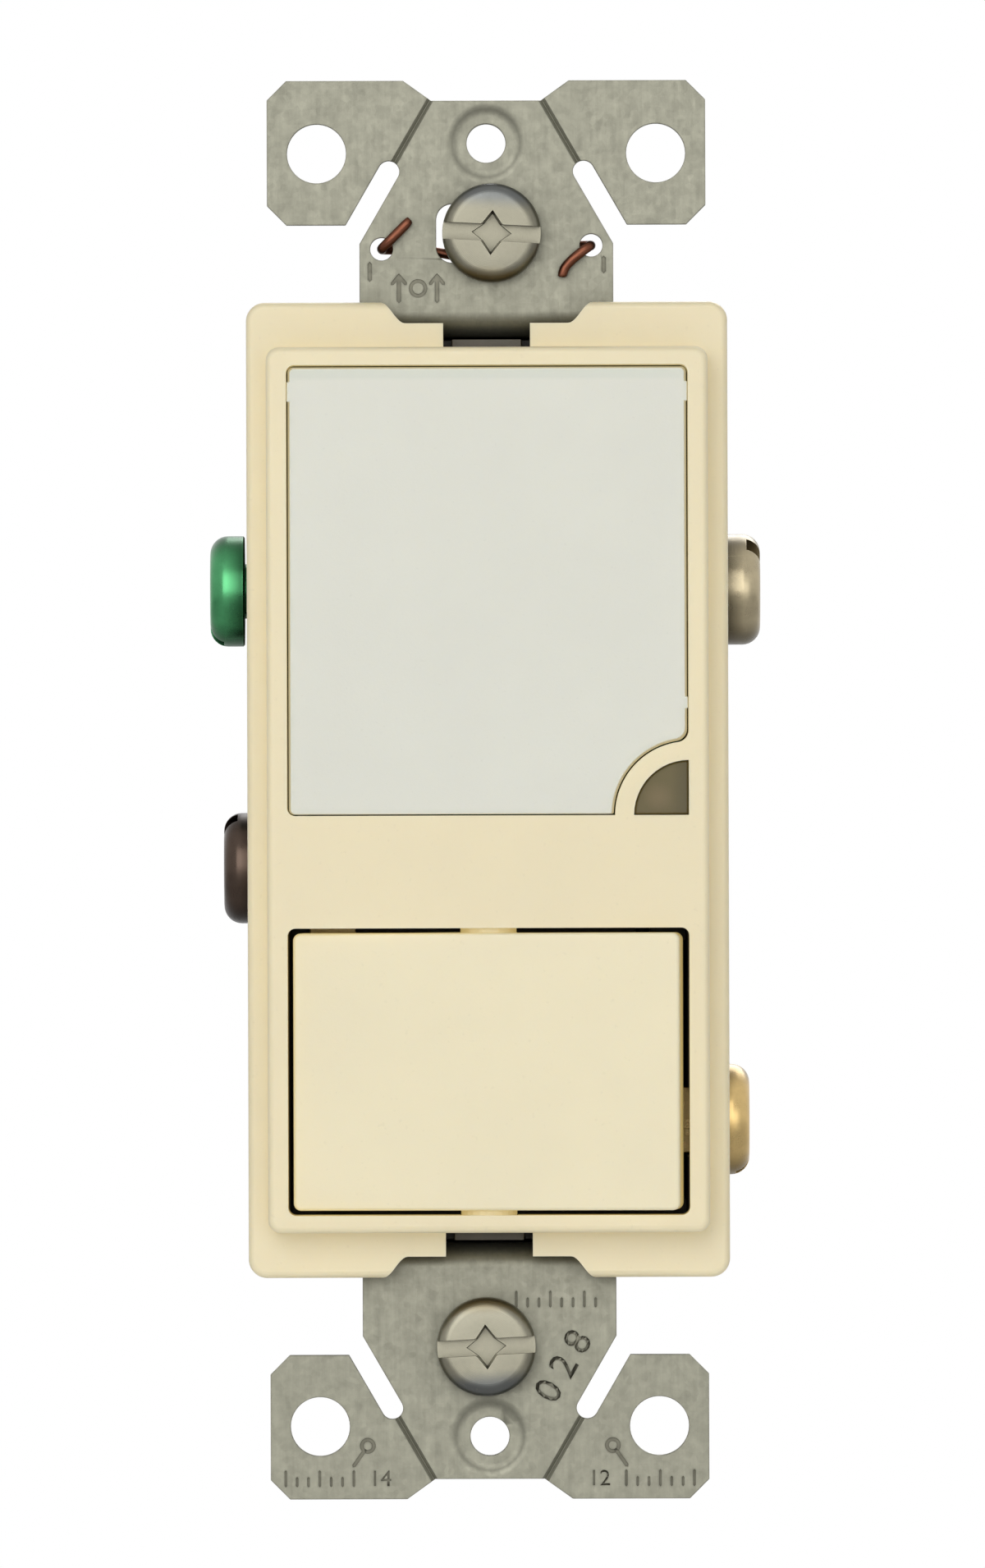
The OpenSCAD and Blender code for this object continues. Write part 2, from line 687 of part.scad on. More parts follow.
module front_cover() {
    cover_post_d = 2 * (partition_drop - seat_gap);
    slot_r = pivot_d / 2 + running_gap;
    slot_len = pivot_len + seat_gap;
    through = strap_front + over;
    depth = through - face_y + over;
    color(ivory) difference() {
        union() {
            difference() {
                union() {
                    soft_slab(strap_front, shoulder_t, cover_w, cover_h, shoulder_corner, edge_r);
                    soft_slab(strap_front, shoulder_t + face_rise, face_w, face_h,
                        face_corner, edge_r);
                }
                slab(through, depth) lens_outline_2d(0, 0, opening_corner);
                slab(through, depth) translate([0, rocker_z])
                    rounded_rect(opening_w, rocker_open_h, opening_corner);
                slab(through, depth) window_2d(0);
                // hollow behind the band
                block([-opening_w / 2 + wall_side, band_back, rocker_top + wall_bottom],
                    [opening_w / 2 - wall_side, through, lens_low - wall_bottom]);
                for (end = [0, 1])
                    mirror([0, 0, end]) slab(through, shoulder_t + over + 0.01) end_notch_2d();
            }
            for (x = [-post_x, post_x])
                translate([x, 0, post_z]) rod_y(cover_post_d, band_back - root, post_back);
            for (side = [0, 1], z = latch_z) mirror([side, 0, 0]) latch_finger(z);
        }
        for (x = [-post_x, post_x]) translate([x, 0, post_z])
            rod_y(assembly_d + 2 * running_gap, post_back - assembly_bite - over, post_back + over);
        // bearings of the rocker's pins, open to the back
        for (z = [rocker_top, rocker_low - slot_len]) {
            translate([0, pivot_y, z]) cylinder(r = slot_r, h = slot_len);
            block([-slot_r, pivot_y, z], [slot_r, through, z + slot_len]);
        }
    }
}

module rocker() {
    rim_y = face_y + rocker_depth;
    pin_root = 2 * rocker_wall;
    pin_out = rocker_end_gap + pivot_len;
    rib_x = rocker_w / 2 - rocker_wall + root;
    color(ivory) rocker_pose() difference() {
        union() {
            difference() {
                translate([0, 0, rocker_z])
                    soft_slab(rim_y, rocker_depth, rocker_w, rocker_h, rocker_corner,
                        rocker_edge_r);
                slab(rim_y + over, rocker_depth - rocker_wall + over) translate([0, rocker_z])
                    square([rocker_w - 2 * rocker_wall, rocker_h - 2 * rocker_wall],
                        center = true);
            }
            for (end = [-1, 1])
                translate([0, pivot_y, rocker_z + end * (rocker_h - pin_root + pin_out) / 2])
                    cylinder(d = pivot_d, h = pin_root + pin_out, center = true);
            translate([0, 0, rocker_z]) rod_y(post_d, face_y + rocker_wall - root, post_end);
            // ribs from the post to the rim
            for (side = [0, 1]) mirror([side, 0, 0])
                block([post_d / 2 - 2 * root, face_y + rocker_wall - root, rocker_z - rib_t / 2],
                    [rib_x, rim_y - rocker_wall / 2, rocker_z + rib_t / 2]);
        }
        translate([0, 0, rocker_z]) rod_y(plunger_d + 2 * running_gap, bore_y, post_end + over);
    }
}

// Small bump of length len on the lens's edge at height z, on the side that x gives.
module lens_bump(side, z, len) {
    bump_x = opening_w / 2 - running_gap;
    mirror([side > 0 ? 0 : 1, 0, 0])
        block([bump_x - 2 * lens_gap - root, lens_front, z - len / 2],
            [bump_x, lens_front + lens_t, z + len / 2]);
}

module night_light_lens() {
    color([0.86, 0.86, 0.82, 0.9]) {
        slab(lens_front + lens_t, lens_t) lens_outline_2d(lens_gap, seat_gap, lens_corner);
        slab(lens_front + lens_depth, lens_depth - lens_t + root) difference() {
            lens_outline_2d(lens_gap, seat_gap, lens_corner);
            lens_outline_2d(lens_gap + lens_rim, seat_gap + lens_rim, lens_corner);
        }
        for (side = [-1, 1]) lens_bump(side, lens_top - 2, 1.5);
        lens_bump(1, lens_low + arch_r + 2.9, 0.9);
    }
}

module sensor_window() {
    color([0.36, 0.32, 0.22])
        slab(face_y + window_sink + window_t, window_t) window_2d(running_gap);
}

// ---------------------------------------------------------------- strap, clip and box screws

// One end of the strap in its own plane, from the bend outwards.
module strap_end_2d(slot_len) {
    mid = [4.1, strap_end_z - 1.5];
    slope = [6.2, strap_end_z];
    slit = [strip_w / 2 - 2.2, ear_low + 4];
    difference() {
        union() {
            translate([-strip_w / 2, bend_z]) square([strip_w, ear_low - bend_z + root]);
            polygon([for (x = [-1, 1]) each let (p = [
                [ear_x - ear_chamfer, ear_low], [ear_x, ear_low + ear_chamfer],
                [ear_x, strap_end_z - ear_chamfer], [ear_x - ear_chamfer, strap_end_z],
                slope, mid])
                x < 0 ? [for (i = [len(p) - 1 : -1 : 0]) [-p[i][0], p[i][1]]] : p]);
        }
        for (side = [0, 1]) mirror([side, 0]) {
            translate([ear_hole_pitch / 2, ear_hole_z]) circle(d = ear_hole_d);
            translate(slit) circle(d = ear_slot_w);
            translate(slit) rotate(-60) translate([0, -ear_slot_w / 2])
                square([ear_h, ear_slot_w]);
        }
        translate([0, plate_screw_z]) circle(d = plate_screw_d);
        translate([0, box_screw_z]) rounded_rect(slot_len, slot_h, slot_corner);
    }
}

// Strap's end with its pressed details. The upper end has the ground clip's holes.
module strap_end(slot_len, clip_holes) {
    collar_h = 1.2;
    dimple_h = 0.5;
    score = 0.35;
    score_start = [strip_w / 2 - 2.4, ear_low + 4.3];
    difference() {
        union() {
            slab(0, strap_t) strap_end_2d(slot_len);
            translate([0, 0, plate_screw_z]) difference() {
                rod_y(collar_d, -root, collar_h);
                rod_y(plate_screw_d, -over, collar_h + over);
            }
        }
        // dimple round the tapped hole
        translate([0, strap_front, plate_screw_z]) rotate([-90, 0, 0]) translate([0, 0, -0.01])
            cylinder(d1 = dimple_d, d2 = dimple_d - 4 * dimple_h, h = dimple_h);
        // score lines where an ear snaps off, on both faces
        for (side = [0, 1], y = [0, strap_front]) mirror([side, 0, 0])
            translate([score_start[0], y, score_start[1]]) rotate([0, -30, 0])
                rotate([0, 0, 45]) translate([-score / 2, -score / 2, 0])
                    cube([score, score, ear_h - 2.8]);
        if (clip_holes)
            for (x = [-1, 1])
                translate([x * clip_hole_pitch / 2, 0, clip_hole_z + (x > 0 ? clip_hole_rise : 0)])
                    rod_y(clip_hole_d, strap_front - over, over);
    }
}

// Leg and half of the back band in section, from the front bend round the rear corner.
module leg_section_2d() {
    translate([bend_r, bend_z]) bend_section();
    translate([bend_r, leg_z]) square([housing_depth - 2 * bend_r, strap_t]);
    translate([housing_depth - bend_r, leg_z - bend_r]) mirror([1, 0]) mirror([0, 1])
        bend_section();
    translate([housing_depth, 0]) square([strap_t, leg_z - bend_r]);
}

// Side tab in section, from the back band round to its free end.
module tab_section_2d() {
    tab_y = terminal_y - tab_len;
    translate([-tab_in + bend_r, housing_depth])
        square([tab_in - bend_r - strip_w / 2 + over, strap_t]);
    translate([-tab_in + bend_r, housing_depth - bend_r]) mirror([0, 1]) bend_section();
    translate([-tab_out, tab_y]) square([strap_t, housing_depth - bend_r - tab_y]);
}

module mounting_strap() {
    color(steel) difference() {
        union() {
            strap_end(slot_len_top, true);
            mirror([0, 0, 1]) strap_end(slot_len_bottom, false);
            for (end = [0, 1]) mirror([0, 0, end]) pull_x(-strip_w / 2, strip_w) leg_section_2d();
            translate([0, 0, ground_z - tab_w / 2]) linear_extrude(tab_w) tab_section_2d();
        }
        for (x = [-post_x, post_x]) translate([x, housing_depth, post_z])
            rod_y(assembly_d + 2 * running_gap, -over, strap_t + over);
        translate([0, terminal_y, ground_z])
            rod_x(terminal_shank_d + 2 * running_gap, -tab_out - over, -tab_in + over);
    }
}

// Wire that hooks through the strap's upper holes and bears on the upper box screw's neck.
module ground_clip() {
    r = clip_wire_d / 2;
    turn = r + running_gap; // room that the wire takes on either side of the strap
    front = strap_front - turn;
    back = turn;
    left = [-clip_hole_pitch / 2, 0, clip_hole_z];
    right = [clip_hole_pitch / 2, 0, clip_hole_z + clip_hole_rise];
    dip = box_screw_z - box_neck_d / 2 - r - seat_gap;
    neck = [box_shift_top, back, dip];
    half = box_neck_d / 2;
    over_left = [-1, 0, 0] * box_neck_d + neck + [0, 0, (left[2] - dip) / 2];
    over_right = [1, 0, 0] * box_neck_d + neck + [0, 0, (right[2] - dip) / 2];
    // the parts of each end that lie on the strap's front, from the hole outwards
    left_end = [for (t = [0.15, 0.5, 1]) left + [t * clip_reach, front, t * clip_reach]];
    right_end = [for (t = [[0.15, 0.1], [0.55, 0.4], [0.92, 0.75], [1, 1.1]])
        right + [-t[0] * clip_reach, front, -t[1] * clip_reach]];
    color([0.5, 0.3, 0.2]) wire([left_end[2], left_end[1], left_end[0],
        left + [0, front + turn, 0], left + [0, back - turn, 0], left + [r, back, 0],
        left + [box_neck_d, back, 0], over_left, neck - [half, 0, 0], neck + [half, 0, 0],
        over_right, right + [-box_neck_d, back, 0], right + [-r, back, 0],
        right + [0, back - turn, 0], right + [0, front + turn, 0],
        right_end[0], right_end[1], right_end[2], right_end[3]], clip_wire_d, 10);
}

// Screw whose plain neck, thinner than its thread, keeps it captive in its washer.
module box_screw(shift, z, turn) {
    neck_end = head_seat + box_neck_len;
    tip = head_seat + box_shank_len;
    point = 0.5;
    translate([shift, head_seat, z]) rotate([90, turn, 0])
        screw(box_head_d, box_head_h, box_head_r, box_neck_d, box_neck_len + root);
    translate([shift, 0, z]) {
        rod_y(box_shank_d, neck_end, tip - point);
        translate([0, tip - point, 0]) rotate([-90, 0, 0])
            cylinder(d1 = box_shank_d, d2 = box_shank_d - 1.6 * point, h = point);
    }
}

// Fibre washer that keeps a box screw from falling out of its slot.
module box_washer(shift, z, y) {
    translate([shift, 0, z]) difference() {
        rod_y(washer_d, y, y + washer_t);
        rod_y(box_neck_d + 2 * running_gap, y - over, y + washer_t + over);
    }
}

module mounting_screw_top() {
    color(silver) box_screw(box_shift_top, box_screw_z, box_turn_top);
}

module mounting_screw_bottom() {
    color(silver) box_screw(box_shift_bottom, -box_screw_z, box_turn_bottom);
}

module screw_washer_top() {
    color([0.72, 0.6, 0.42]) box_washer(box_shift_top, box_screw_z, washer_back_top);
}

module screw_washer_bottom() {
    color([0.72, 0.6, 0.42]) box_washer(box_shift_bottom, -box_screw_z, washer_back_bottom);
}

// ---------------------------------------------------------------- housing

// Recess and slot in the housing's right side for a terminal at height z.
module terminal_seat(z) {
    plate_half = terminal_w / 2 + seat_gap;
    neck_half = terminal_neck_w / 2 + seat_gap;
    block([plate_in - 0.02, strap_front - over, z - plate_half],
        [side_x + over, terminal_y + terminal_end + seat_gap, z + plate_half]);
    block([room_x - over, strap_front - over, z - neck_half],
        [side_x + over, deck_y, z + neck_half]);
    shank_way(z);
}

// Way for a terminal screw's shank through the housing's right side.
module shank_way(z) {
    translate([0, terminal_y, z])
        rod_x(terminal_shank_d + 2 * pass_gap, side_x - terminal_shank_len - over, side_x + over);
}

// Recess for a latch finger, with the wedge that holds it.
module latch_seat(z) {
    wedge_x = side_x - latch_t - seat_gap;
    wedge_y = strap_front + latch_len - latch_tip - 2 * seat_gap;
    difference() {
        block([wedge_x, strap_front - over, z - latch_w / 2 - seat_gap],
            [side_x + over, strap_front + latch_len + 3 * seat_gap, z + latch_w / 2 + seat_gap]);
        translate([0, 0, z - latch_window_w / 2 + seat_gap])
            linear_extrude(latch_window_w - 2 * seat_gap)
                polygon([[wedge_x - root, strap_front + latch_len / 3 + 4 * seat_gap],
                    [side_x - seat_gap, wedge_y], [wedge_x - root, wedge_y]]);
    }
}

module rear_housing() {
    boss_front = post_back + seat_gap;
    boss_d = 2 * partition_drop + 2 * root;
    deck_wall = 1.2;
    cut = housing_chamfer * sqrt(2);
    pillar_z = [board_low + pillar_w / 2 + seat_gap, chamber_top - pillar_w / 2];
    color(charcoal) difference() {
        union() {
            difference() {
                slab(housing_depth, housing_depth - strap_front)
                    rounded_rect(face_w, housing_h, housing_corner);
                // lamp chamber
                block([-room_x, strap_front - over, partition_top],
                    [room_x, floor_y, chamber_top]);
                // switch chamber, its deck and the hollow beside it
                block([-room_x, strap_front - over, -chamber_top],
                    [room_x, deck_y, partition_low]);
                block([cradle_w / 2 + 1, deck_y - over, -chamber_top + deck_wall],
                    [room_x, floor_y, partition_low - deck_wall]);
            }
            for (x = [-post_x, post_x])
                translate([x, 0, post_z]) rod_y(boss_d, boss_front, floor_y + root);
            for (x = [-pillar_x, pillar_x], z = pillar_z) {
                block([x - pillar_w / 2, board_back, z - pillar_w / 2],
                    [x + pillar_w / 2, floor_y + root, z + pillar_w / 2]);
                translate([x, 0, z]) rod_y(peg_d, board_y + seat_gap, board_back + root);
            }
        }
        for (x = [-post_x, post_x]) translate([x, 0, post_z])
            rod_y(assembly_d + 2 * running_gap, boss_front - over, housing_depth + over);
        terminal_seat(neutral_z);
        terminal_seat(line_z);
        mirror([1, 0, 0]) terminal_seat(load_z);
        mirror([1, 0, 0]) shank_way(ground_z);
        // ways for the load strip and the line lead past the partition
        block([load_out - 2 * seat_gap, strap_front - over, partition_low - over],
            [load_in + 2 * seat_gap, deck_y, partition_top + over]);
        block([lead_x - lead_d / 2 - pass_gap, strap_front - over, partition_low - over],
            [lead_x + lead_d / 2 + pass_gap, deck_y, partition_top + over]);
        for (side = [0, 1], z = latch_z) mirror([side, 0, 0]) latch_seat(z);
        // corners of the rim beside the ledge that shows in each end notch
        for (side = [0, 1], end = [0, 1]) mirror([side, 0, 0]) mirror([0, 0, end])
            block([notch_w / 2 - 0.65, strap_front - over, face_h / 2 - 0.3],
                [notch_w / 2 + 0.15, strap_front + 2 * housing_wall, housing_h / 2 + over]);
        // chamfer round the back
        for (x = [-side_x, side_x]) translate([x, housing_depth, 0]) rotate([0, 0, 45])
            cube([cut, cut, housing_h + 2 * over], center = true);
        for (z = [-housing_h / 2, housing_h / 2]) translate([0, housing_depth, z])
            rotate([45, 0, 0]) cube([face_w + 2 * over, cut, cut], center = true);
    }
}

module assembly_screws() {
    back = housing_depth + strap_t;
    color(silver) for (x = [-post_x, post_x])
        translate([x, back, post_z]) rotate([-90, 0, 0])
            screw(assembly_head_d, assembly_head_h, assembly_head_r, assembly_d,
                back - post_back + assembly_bite);
}

// ---------------------------------------------------------------- terminals and their screws

// Plate on the housing's right side with the neck that goes in through the wall.
module terminal_plate(z, neck_end) {
    difference() {
        union() {
            block([plate_in, strap_front + seat_gap, z - terminal_w / 2],
                [plate_out, terminal_y + terminal_end, z + terminal_w / 2]);
            block([neck_end, strip_y, z - terminal_neck_w / 2],
                [plate_in + root, deck_y, z + terminal_neck_w / 2]);
        }
        translate([0, terminal_y, z])
            rod_x(terminal_shank_d + 2 * running_gap, plate_in - over, plate_out + over);
    }
}

module neutral_terminal() {
    color(silver) terminal_plate(neutral_z, room_x - neutral_reach);
}

// Terminal whose inner end is the cradle that the contact arm rocks in.
module line_terminal() {
    half = cradle_w / 2;
    ear_front = arm_y - arm_pin_d / 2 - pass_gap;
    slot_r = arm_pin_d / 2 + running_gap;
    z_out = cradle_z + cradle_t;
    color(brass) difference() {
        union() {
            terminal_plate(line_z, -half);
            block([-half, strip_y, rocker_z - z_out], [half, deck_y, rocker_z + z_out]);
            for (z = [rocker_z - z_out, rocker_z + cradle_z])
                block([-half, ear_front, z], [half, strip_y + root, z + cradle_t]);
        }
        translate([0, arm_y, rocker_z - z_out - over]) cylinder(r = slot_r, h = 2 * (z_out + over));
        block([-slot_r, ear_front - over, rocker_z - z_out - over],
            [slot_r, arm_y, rocker_z + z_out + over]);
    }
}

// Terminal whose inner end is the pad that carries the fixed contact.
module load_terminal() {
    pad = contact_d / 2 + brass_t;
    color(brass) union() {
        mirror([1, 0, 0]) terminal_plate(load_z, -load_in);
        block([load_out, strip_y, rocker_z - pad], [load_in, deck_y, load_z]);
        block([load_out, strip_y, rocker_z - pad], [contact_x + pad, deck_y, rocker_z + pad]);
    }
}

module fixed_contact() {
    color(silver) translate([contact_x, 0, rocker_z])
        rod_y(contact_d + 2 * contact_rim, contact_y, strip_y);
}

module terminal_screw() {
    rotate([0, 90, 0])
        screw(terminal_head_d, terminal_head_h, terminal_head_r, terminal_shank_d,
            terminal_shank_len);
}

module ground_screw() {
    color([0.1, 0.45, 0.28]) mirror([1, 0, 0])
        translate([tab_out + ground_back_out, terminal_y, ground_z]) terminal_screw();
}

module neutral_screw() {
    color(silver) translate([plate_out + neutral_back_out, terminal_y, neutral_z])
        terminal_screw();
}

module line_screw() {
    color(brass) translate([plate_out + line_back_out, terminal_y, line_z]) terminal_screw();
}

module load_screw() {
    color([0.22, 0.18, 0.19]) mirror([1, 0, 0])
        translate([plate_out + load_back_out, terminal_y, load_z]) terminal_screw();
}

// ---------------------------------------------------------------- switch mechanism

module contact_arm() {
    pin_reach = cradle_z + cradle_t;
    color(brass) arm_pose() {
        block([-contact_reach - contact_d / 2 - contact_rim, -arm_t / 2, -arm_w / 2],
            [arm_tail, arm_t / 2, arm_w / 2]);
        translate([0, 0, -pin_reach]) cylinder(d = arm_pin_d, h = 2 * pin_reach);
    }
}

module moving_contact() {
    color(silver) arm_pose() translate([-contact_reach, 0, 0]) intersection() {
        rod_y(contact_d, arm_t / 2, arm_t / 2 + contact_h + over);
        translate([0, dome_centre[1], 0]) sphere(contact_dome_r, $fn = 96);
    }
}

module plunger() {
    r = plunger_d / 2;
    cup_y = tip_y - plunger_len;
    color([0.85, 0.85, 0.8]) rocker_pose() translate([0, 0, rocker_z]) difference() {
        union() {
            rod_y(plunger_d, cup_y, tip_y - r);
            translate([0, tip_y - r, 0]) sphere(r);
        }
        rod_y(plunger_d - 2 * plunger_wall, cup_y - over, hollow_end);
    }
}

module plunger_spring() {
    coil_r = (plunger_d - spring_wire) / 2 - plunger_wall - seat_gap;
    low = bore_y + spring_wire / 2 + running_gap;
    high = hollow_end - spring_wire / 2 - running_gap;
    flat = 0.06; // share of the length that each closed end turn takes
    steps = 12; // points in a turn
    function rise(t) = t < 1 ? flat * t
        : t > spring_turns - 1 ? 1 - flat * (spring_turns - t)
        : flat + (1 - 2 * flat) * (t - 1) / (spring_turns - 2);
    color([0.7, 0.7, 0.7]) rocker_pose() translate([0, 0, rocker_z])
        wire([for (i = [0 : steps * spring_turns]) let (a = 360 * i / steps)
            [coil_r * cos(a), low + (high - low) * rise(i / steps), coil_r * sin(a)]],
            spring_wire, 6);
}

// ---------------------------------------------------------------- night light

module circuit_board() {
    color([0.16, 0.4, 0.24]) difference() {
        block([-room_x + seat_gap, board_y, board_low], [room_x - seat_gap, board_back, board_high]);
        for (x = [-pillar_x, pillar_x],
            z = [board_low + pillar_w / 2 + seat_gap, chamber_top - pillar_w / 2])
            translate([x, 0, z]) rod_y(peg_d + 2 * seat_gap, board_y - over, board_back + over);
    }
}

module light_emitters() {
    body_y = board_y - led_flange_t - led_h;
    color([0.95, 0.95, 0.85]) for (i = [-1 : 1]) translate([0, 0, lens_mid + i * led_pitch]) {
        rod_y(led_d + 2 * led_flange_w, board_y - led_flange_t, board_y);
        rod_y(led_d, body_y, board_y - led_flange_t);
        translate([0, body_y, 0]) sphere(led_d / 2);
    }
}

// Outline of the reflector box, with a corner left out for the sensor and its arch.
module box_outline_2d(inset) {
    low = lens_low + box_inset + inset;
    high = lens_top - box_inset - inset;
    side = opening_w / 2 - box_inset - inset;
    cut = arch_r + pass_gap + inset;
    polygon([[-side, low], [sensor_x - cut, low], [sensor_x - cut, lens_low + cut],
        [side, lens_low + cut], [side, high], [-side, high]]);
}

module reflector_box() {
    color([0.93, 0.93, 0.9]) difference() {
        union() {
            slab(board_y, board_y - box_front) box_outline_2d(0);
            // flange that closes the lens opening behind the lens
            slab(box_front + box_wall, box_wall)
                lens_outline_2d(seat_gap, seat_gap, lens_corner);
        }
        slab(board_y - box_wall, board_y - box_front + over) box_outline_2d(box_wall);
        for (i = [-1 : 1]) translate([0, 0, lens_mid + i * led_pitch])
            rod_y(led_d + 2 * (led_flange_w + seat_gap), board_y - box_wall - over, board_y + over);
    }
}

module photocell() {
    step = 0.2;
    color([0.75, 0.4, 0.2]) translate([cell_x, 0, cell_z]) {
        rod_y(cell_d, board_y - cell_h + step, board_y);
        rod_y(cell_d - 4 * step, board_y - cell_h, board_y - cell_h + 2 * step);
    }
}

// Tube between the sensor window and the photocell that keeps the lamp's light out.
module photocell_shroud() {
    color(charcoal) translate([cell_x, 0, cell_z]) difference() {
        rod_y(shroud_d, strap_front + seat_gap, board_y);
        rod_y(cell_d + 2 * seat_gap, strap_front - over, board_y + over);
    }
}

module drop_resistor() {
    cap_len = 1.8;
    neck_d = resistor_d - 0.6;
    color([0.55, 0.7, 0.8])
        translate([-resistor_len, board_back + resistor_d / 2 + seat_gap, board_low + resistor_up]) {
            rod_x(neck_d, 0, resistor_len);
            for (x = [0, resistor_len - cap_len]) rod_x(resistor_d, x, x + cap_len);
        }
}

module film_capacitor() {
    z = board_low + film_up;
    color([0.75, 0.45, 0.15])
        block([-film_w / 2, board_back, z - film_h / 2],
            [film_w / 2, floor_y - film_clear, z + film_h / 2]);
}

module filter_capacitor() {
    top_y = floor_y - filter_clear;
    step = 0.4;
    color([0.15, 0.15, 0.3]) translate([-1.5, 0, board_low + filter_up]) {
        rod_y(filter_d, board_back, top_y - step);
        rod_y(filter_d - 2 * step, top_y - step - root, top_y);
    }
}

module rectifier_diodes() {
    pitch = diode_len + diode_gap;
    row_end = lead_end_x - lead_d / 2 - pass_gap;
    color([0.12, 0.12, 0.12]) for (i = [0 : 3])
        translate([row_end - diode_len - i * pitch, board_back + diode_d / 2 + running_gap,
            board_low + diode_up]) rod_x(diode_d, 0, diode_len);
}

module switching_transistor() {
    flat_z = -transistor_d / 4;
    color([0.1, 0.1, 0.1]) translate([resistor_len * 0.6, 0, board_low + transistor_up])
        slab(board_back + transistor_h, transistor_h) difference() {
            circle(d = transistor_d);
            translate([-transistor_d, flat_z - transistor_d])
                square([2 * transistor_d, transistor_d]);
        }
}

// Straight end of a lead, out of the board's back at place, from its free side inwards.
function lead_end(place) = [for (t = [1.6, 0.85, 0]) place + [0, t * lead_d, -t * lead_d / 8]];

// Runs from the neutral terminal's neck in to the board.
module neutral_lead() {
    half = terminal_neck_w / 2;
    start = [room_x - neutral_reach + lead_d / 4, deck_y + lead_d / 2 + seat_gap,
        neutral_z + half - lead_d / 2];
    end = [room_x - neutral_reach - 3.4 * lead_d, board_back + running_gap,
        neutral_z + half + 0.6 * lead_d];
    color([0.85, 0.85, 0.82]) wire(concat([start, start + [-1.6, 0.25, 0.1] * lead_d,
        start + [-2.75, 0.15, 0.4] * lead_d], lead_end(end)), lead_d, 8);
}

// Runs from the line terminal's neck up through the partition and in to the board.
module line_lead() {
    bed = strip_y - lead_d / 2 - seat_gap;
    run = bed - lead_d * 0.8;
    half = terminal_neck_w / 2;
    end = [lead_end_x, board_back + running_gap, board_low + diode_up];
    color([0.1, 0.1, 0.1]) wire(concat([[lead_x, bed, line_z + half - 1.25 * lead_d],
        [lead_x, bed - lead_d * 0.4, line_z + half + lead_d / 6],
        [lead_x, run, line_z + half + 3.5 * lead_d],
        [lead_x, run, partition_low - 2.3 * lead_d], [lead_x, bed - lead_d * 0.25, partition_low],
        [lead_x, bed + lead_d * 0.4, partition_top + 1.3 * lead_d],
        [lead_x - lead_bend / 3, strip_y + lead_d * 0.4, board_low - 1.2 * lead_d],
        [lead_x - lead_bend * 0.9, strip_y + lead_d / 2, end[2] - 1.3 * lead_d]],
        lead_end(end)), lead_d, 8);
}

front_cover();
rocker();
night_light_lens();
sensor_window();
mounting_strap();
ground_clip();
mounting_screw_top();
mounting_screw_bottom();
screw_washer_top();
screw_washer_bottom();
rear_housing();
assembly_screws();
ground_screw();
neutral_screw();
line_screw();
load_screw();
neutral_terminal();
line_terminal();
load_terminal();
fixed_contact();
contact_arm();
moving_contact();
plunger();
plunger_spring();
circuit_board();
light_emitters();
reflector_box();
photocell();
photocell_shroud();
drop_resistor();
film_capacitor();
filter_capacitor();
rectifier_diodes();
switching_transistor();
neutral_lead();
line_lead();
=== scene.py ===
"""Finishes for a lighted wall switch: mouldings, strap, screws, works and stage."""

import math

import bmesh
import bpy
from bpy.props import FloatProperty, FloatVectorProperty, PointerProperty
from mathutils import Matrix, Vector


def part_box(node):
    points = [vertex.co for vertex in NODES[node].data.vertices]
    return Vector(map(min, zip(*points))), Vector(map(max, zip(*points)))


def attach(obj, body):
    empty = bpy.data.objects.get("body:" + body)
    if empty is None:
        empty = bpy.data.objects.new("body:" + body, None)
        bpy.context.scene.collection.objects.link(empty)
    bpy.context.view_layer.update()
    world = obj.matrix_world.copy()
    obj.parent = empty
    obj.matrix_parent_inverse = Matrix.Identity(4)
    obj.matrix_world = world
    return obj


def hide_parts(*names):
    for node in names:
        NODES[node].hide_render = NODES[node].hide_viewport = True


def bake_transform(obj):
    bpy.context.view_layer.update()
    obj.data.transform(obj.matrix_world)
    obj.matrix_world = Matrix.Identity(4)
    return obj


bl_info = {
    "name": "Lighted wall switch finishes",
    "version": (1, 0, 0),
    "blender": (4, 5, 0),
    "location": "View3D > Sidebar > Switch",
    "description": "Dresses a lighted wall switch and sets its stage",
    "category": "Object",
}

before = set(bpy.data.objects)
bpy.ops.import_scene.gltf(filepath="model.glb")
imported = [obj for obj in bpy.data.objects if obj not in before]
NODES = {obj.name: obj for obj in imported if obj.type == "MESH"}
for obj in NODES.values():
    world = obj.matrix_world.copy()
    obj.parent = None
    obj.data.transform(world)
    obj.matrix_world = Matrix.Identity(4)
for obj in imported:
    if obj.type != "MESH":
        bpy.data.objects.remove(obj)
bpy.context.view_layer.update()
MM = 0.001
SAME_POINT = 0.001 * MM
RINGS_PER_TURN = 8
SOCKET = bpy.types.NodeSocket


# ---- colours and sizes

def srgb(*steps):
    """A colour written in 0 to 255 display steps, as the linear values that shaders take."""
    return tuple(share / 12.92 if share <= 0.04045 else ((share + 0.055) / 1.055) ** 2.4
                 for share in (step / 255 for step in steps))


def shade(colour, factor):
    """The same colour, darker or lighter by a factor."""
    return tuple(min(1.0, channel * factor) for channel in colour)


def tint(name, description, *steps):
    """A colour property, with its default in 0 to 255 display steps."""
    return FloatVectorProperty(name=name, description=description, default=srgb(*steps),
                               subtype="COLOR", size=3, min=0, max=1)


def length(name, description, default):
    """A length property, with its default in millimetres."""
    return FloatProperty(name=name, description=description, default=default * MM,
                         unit="LENGTH", subtype="DISTANCE", min=0, precision=5)


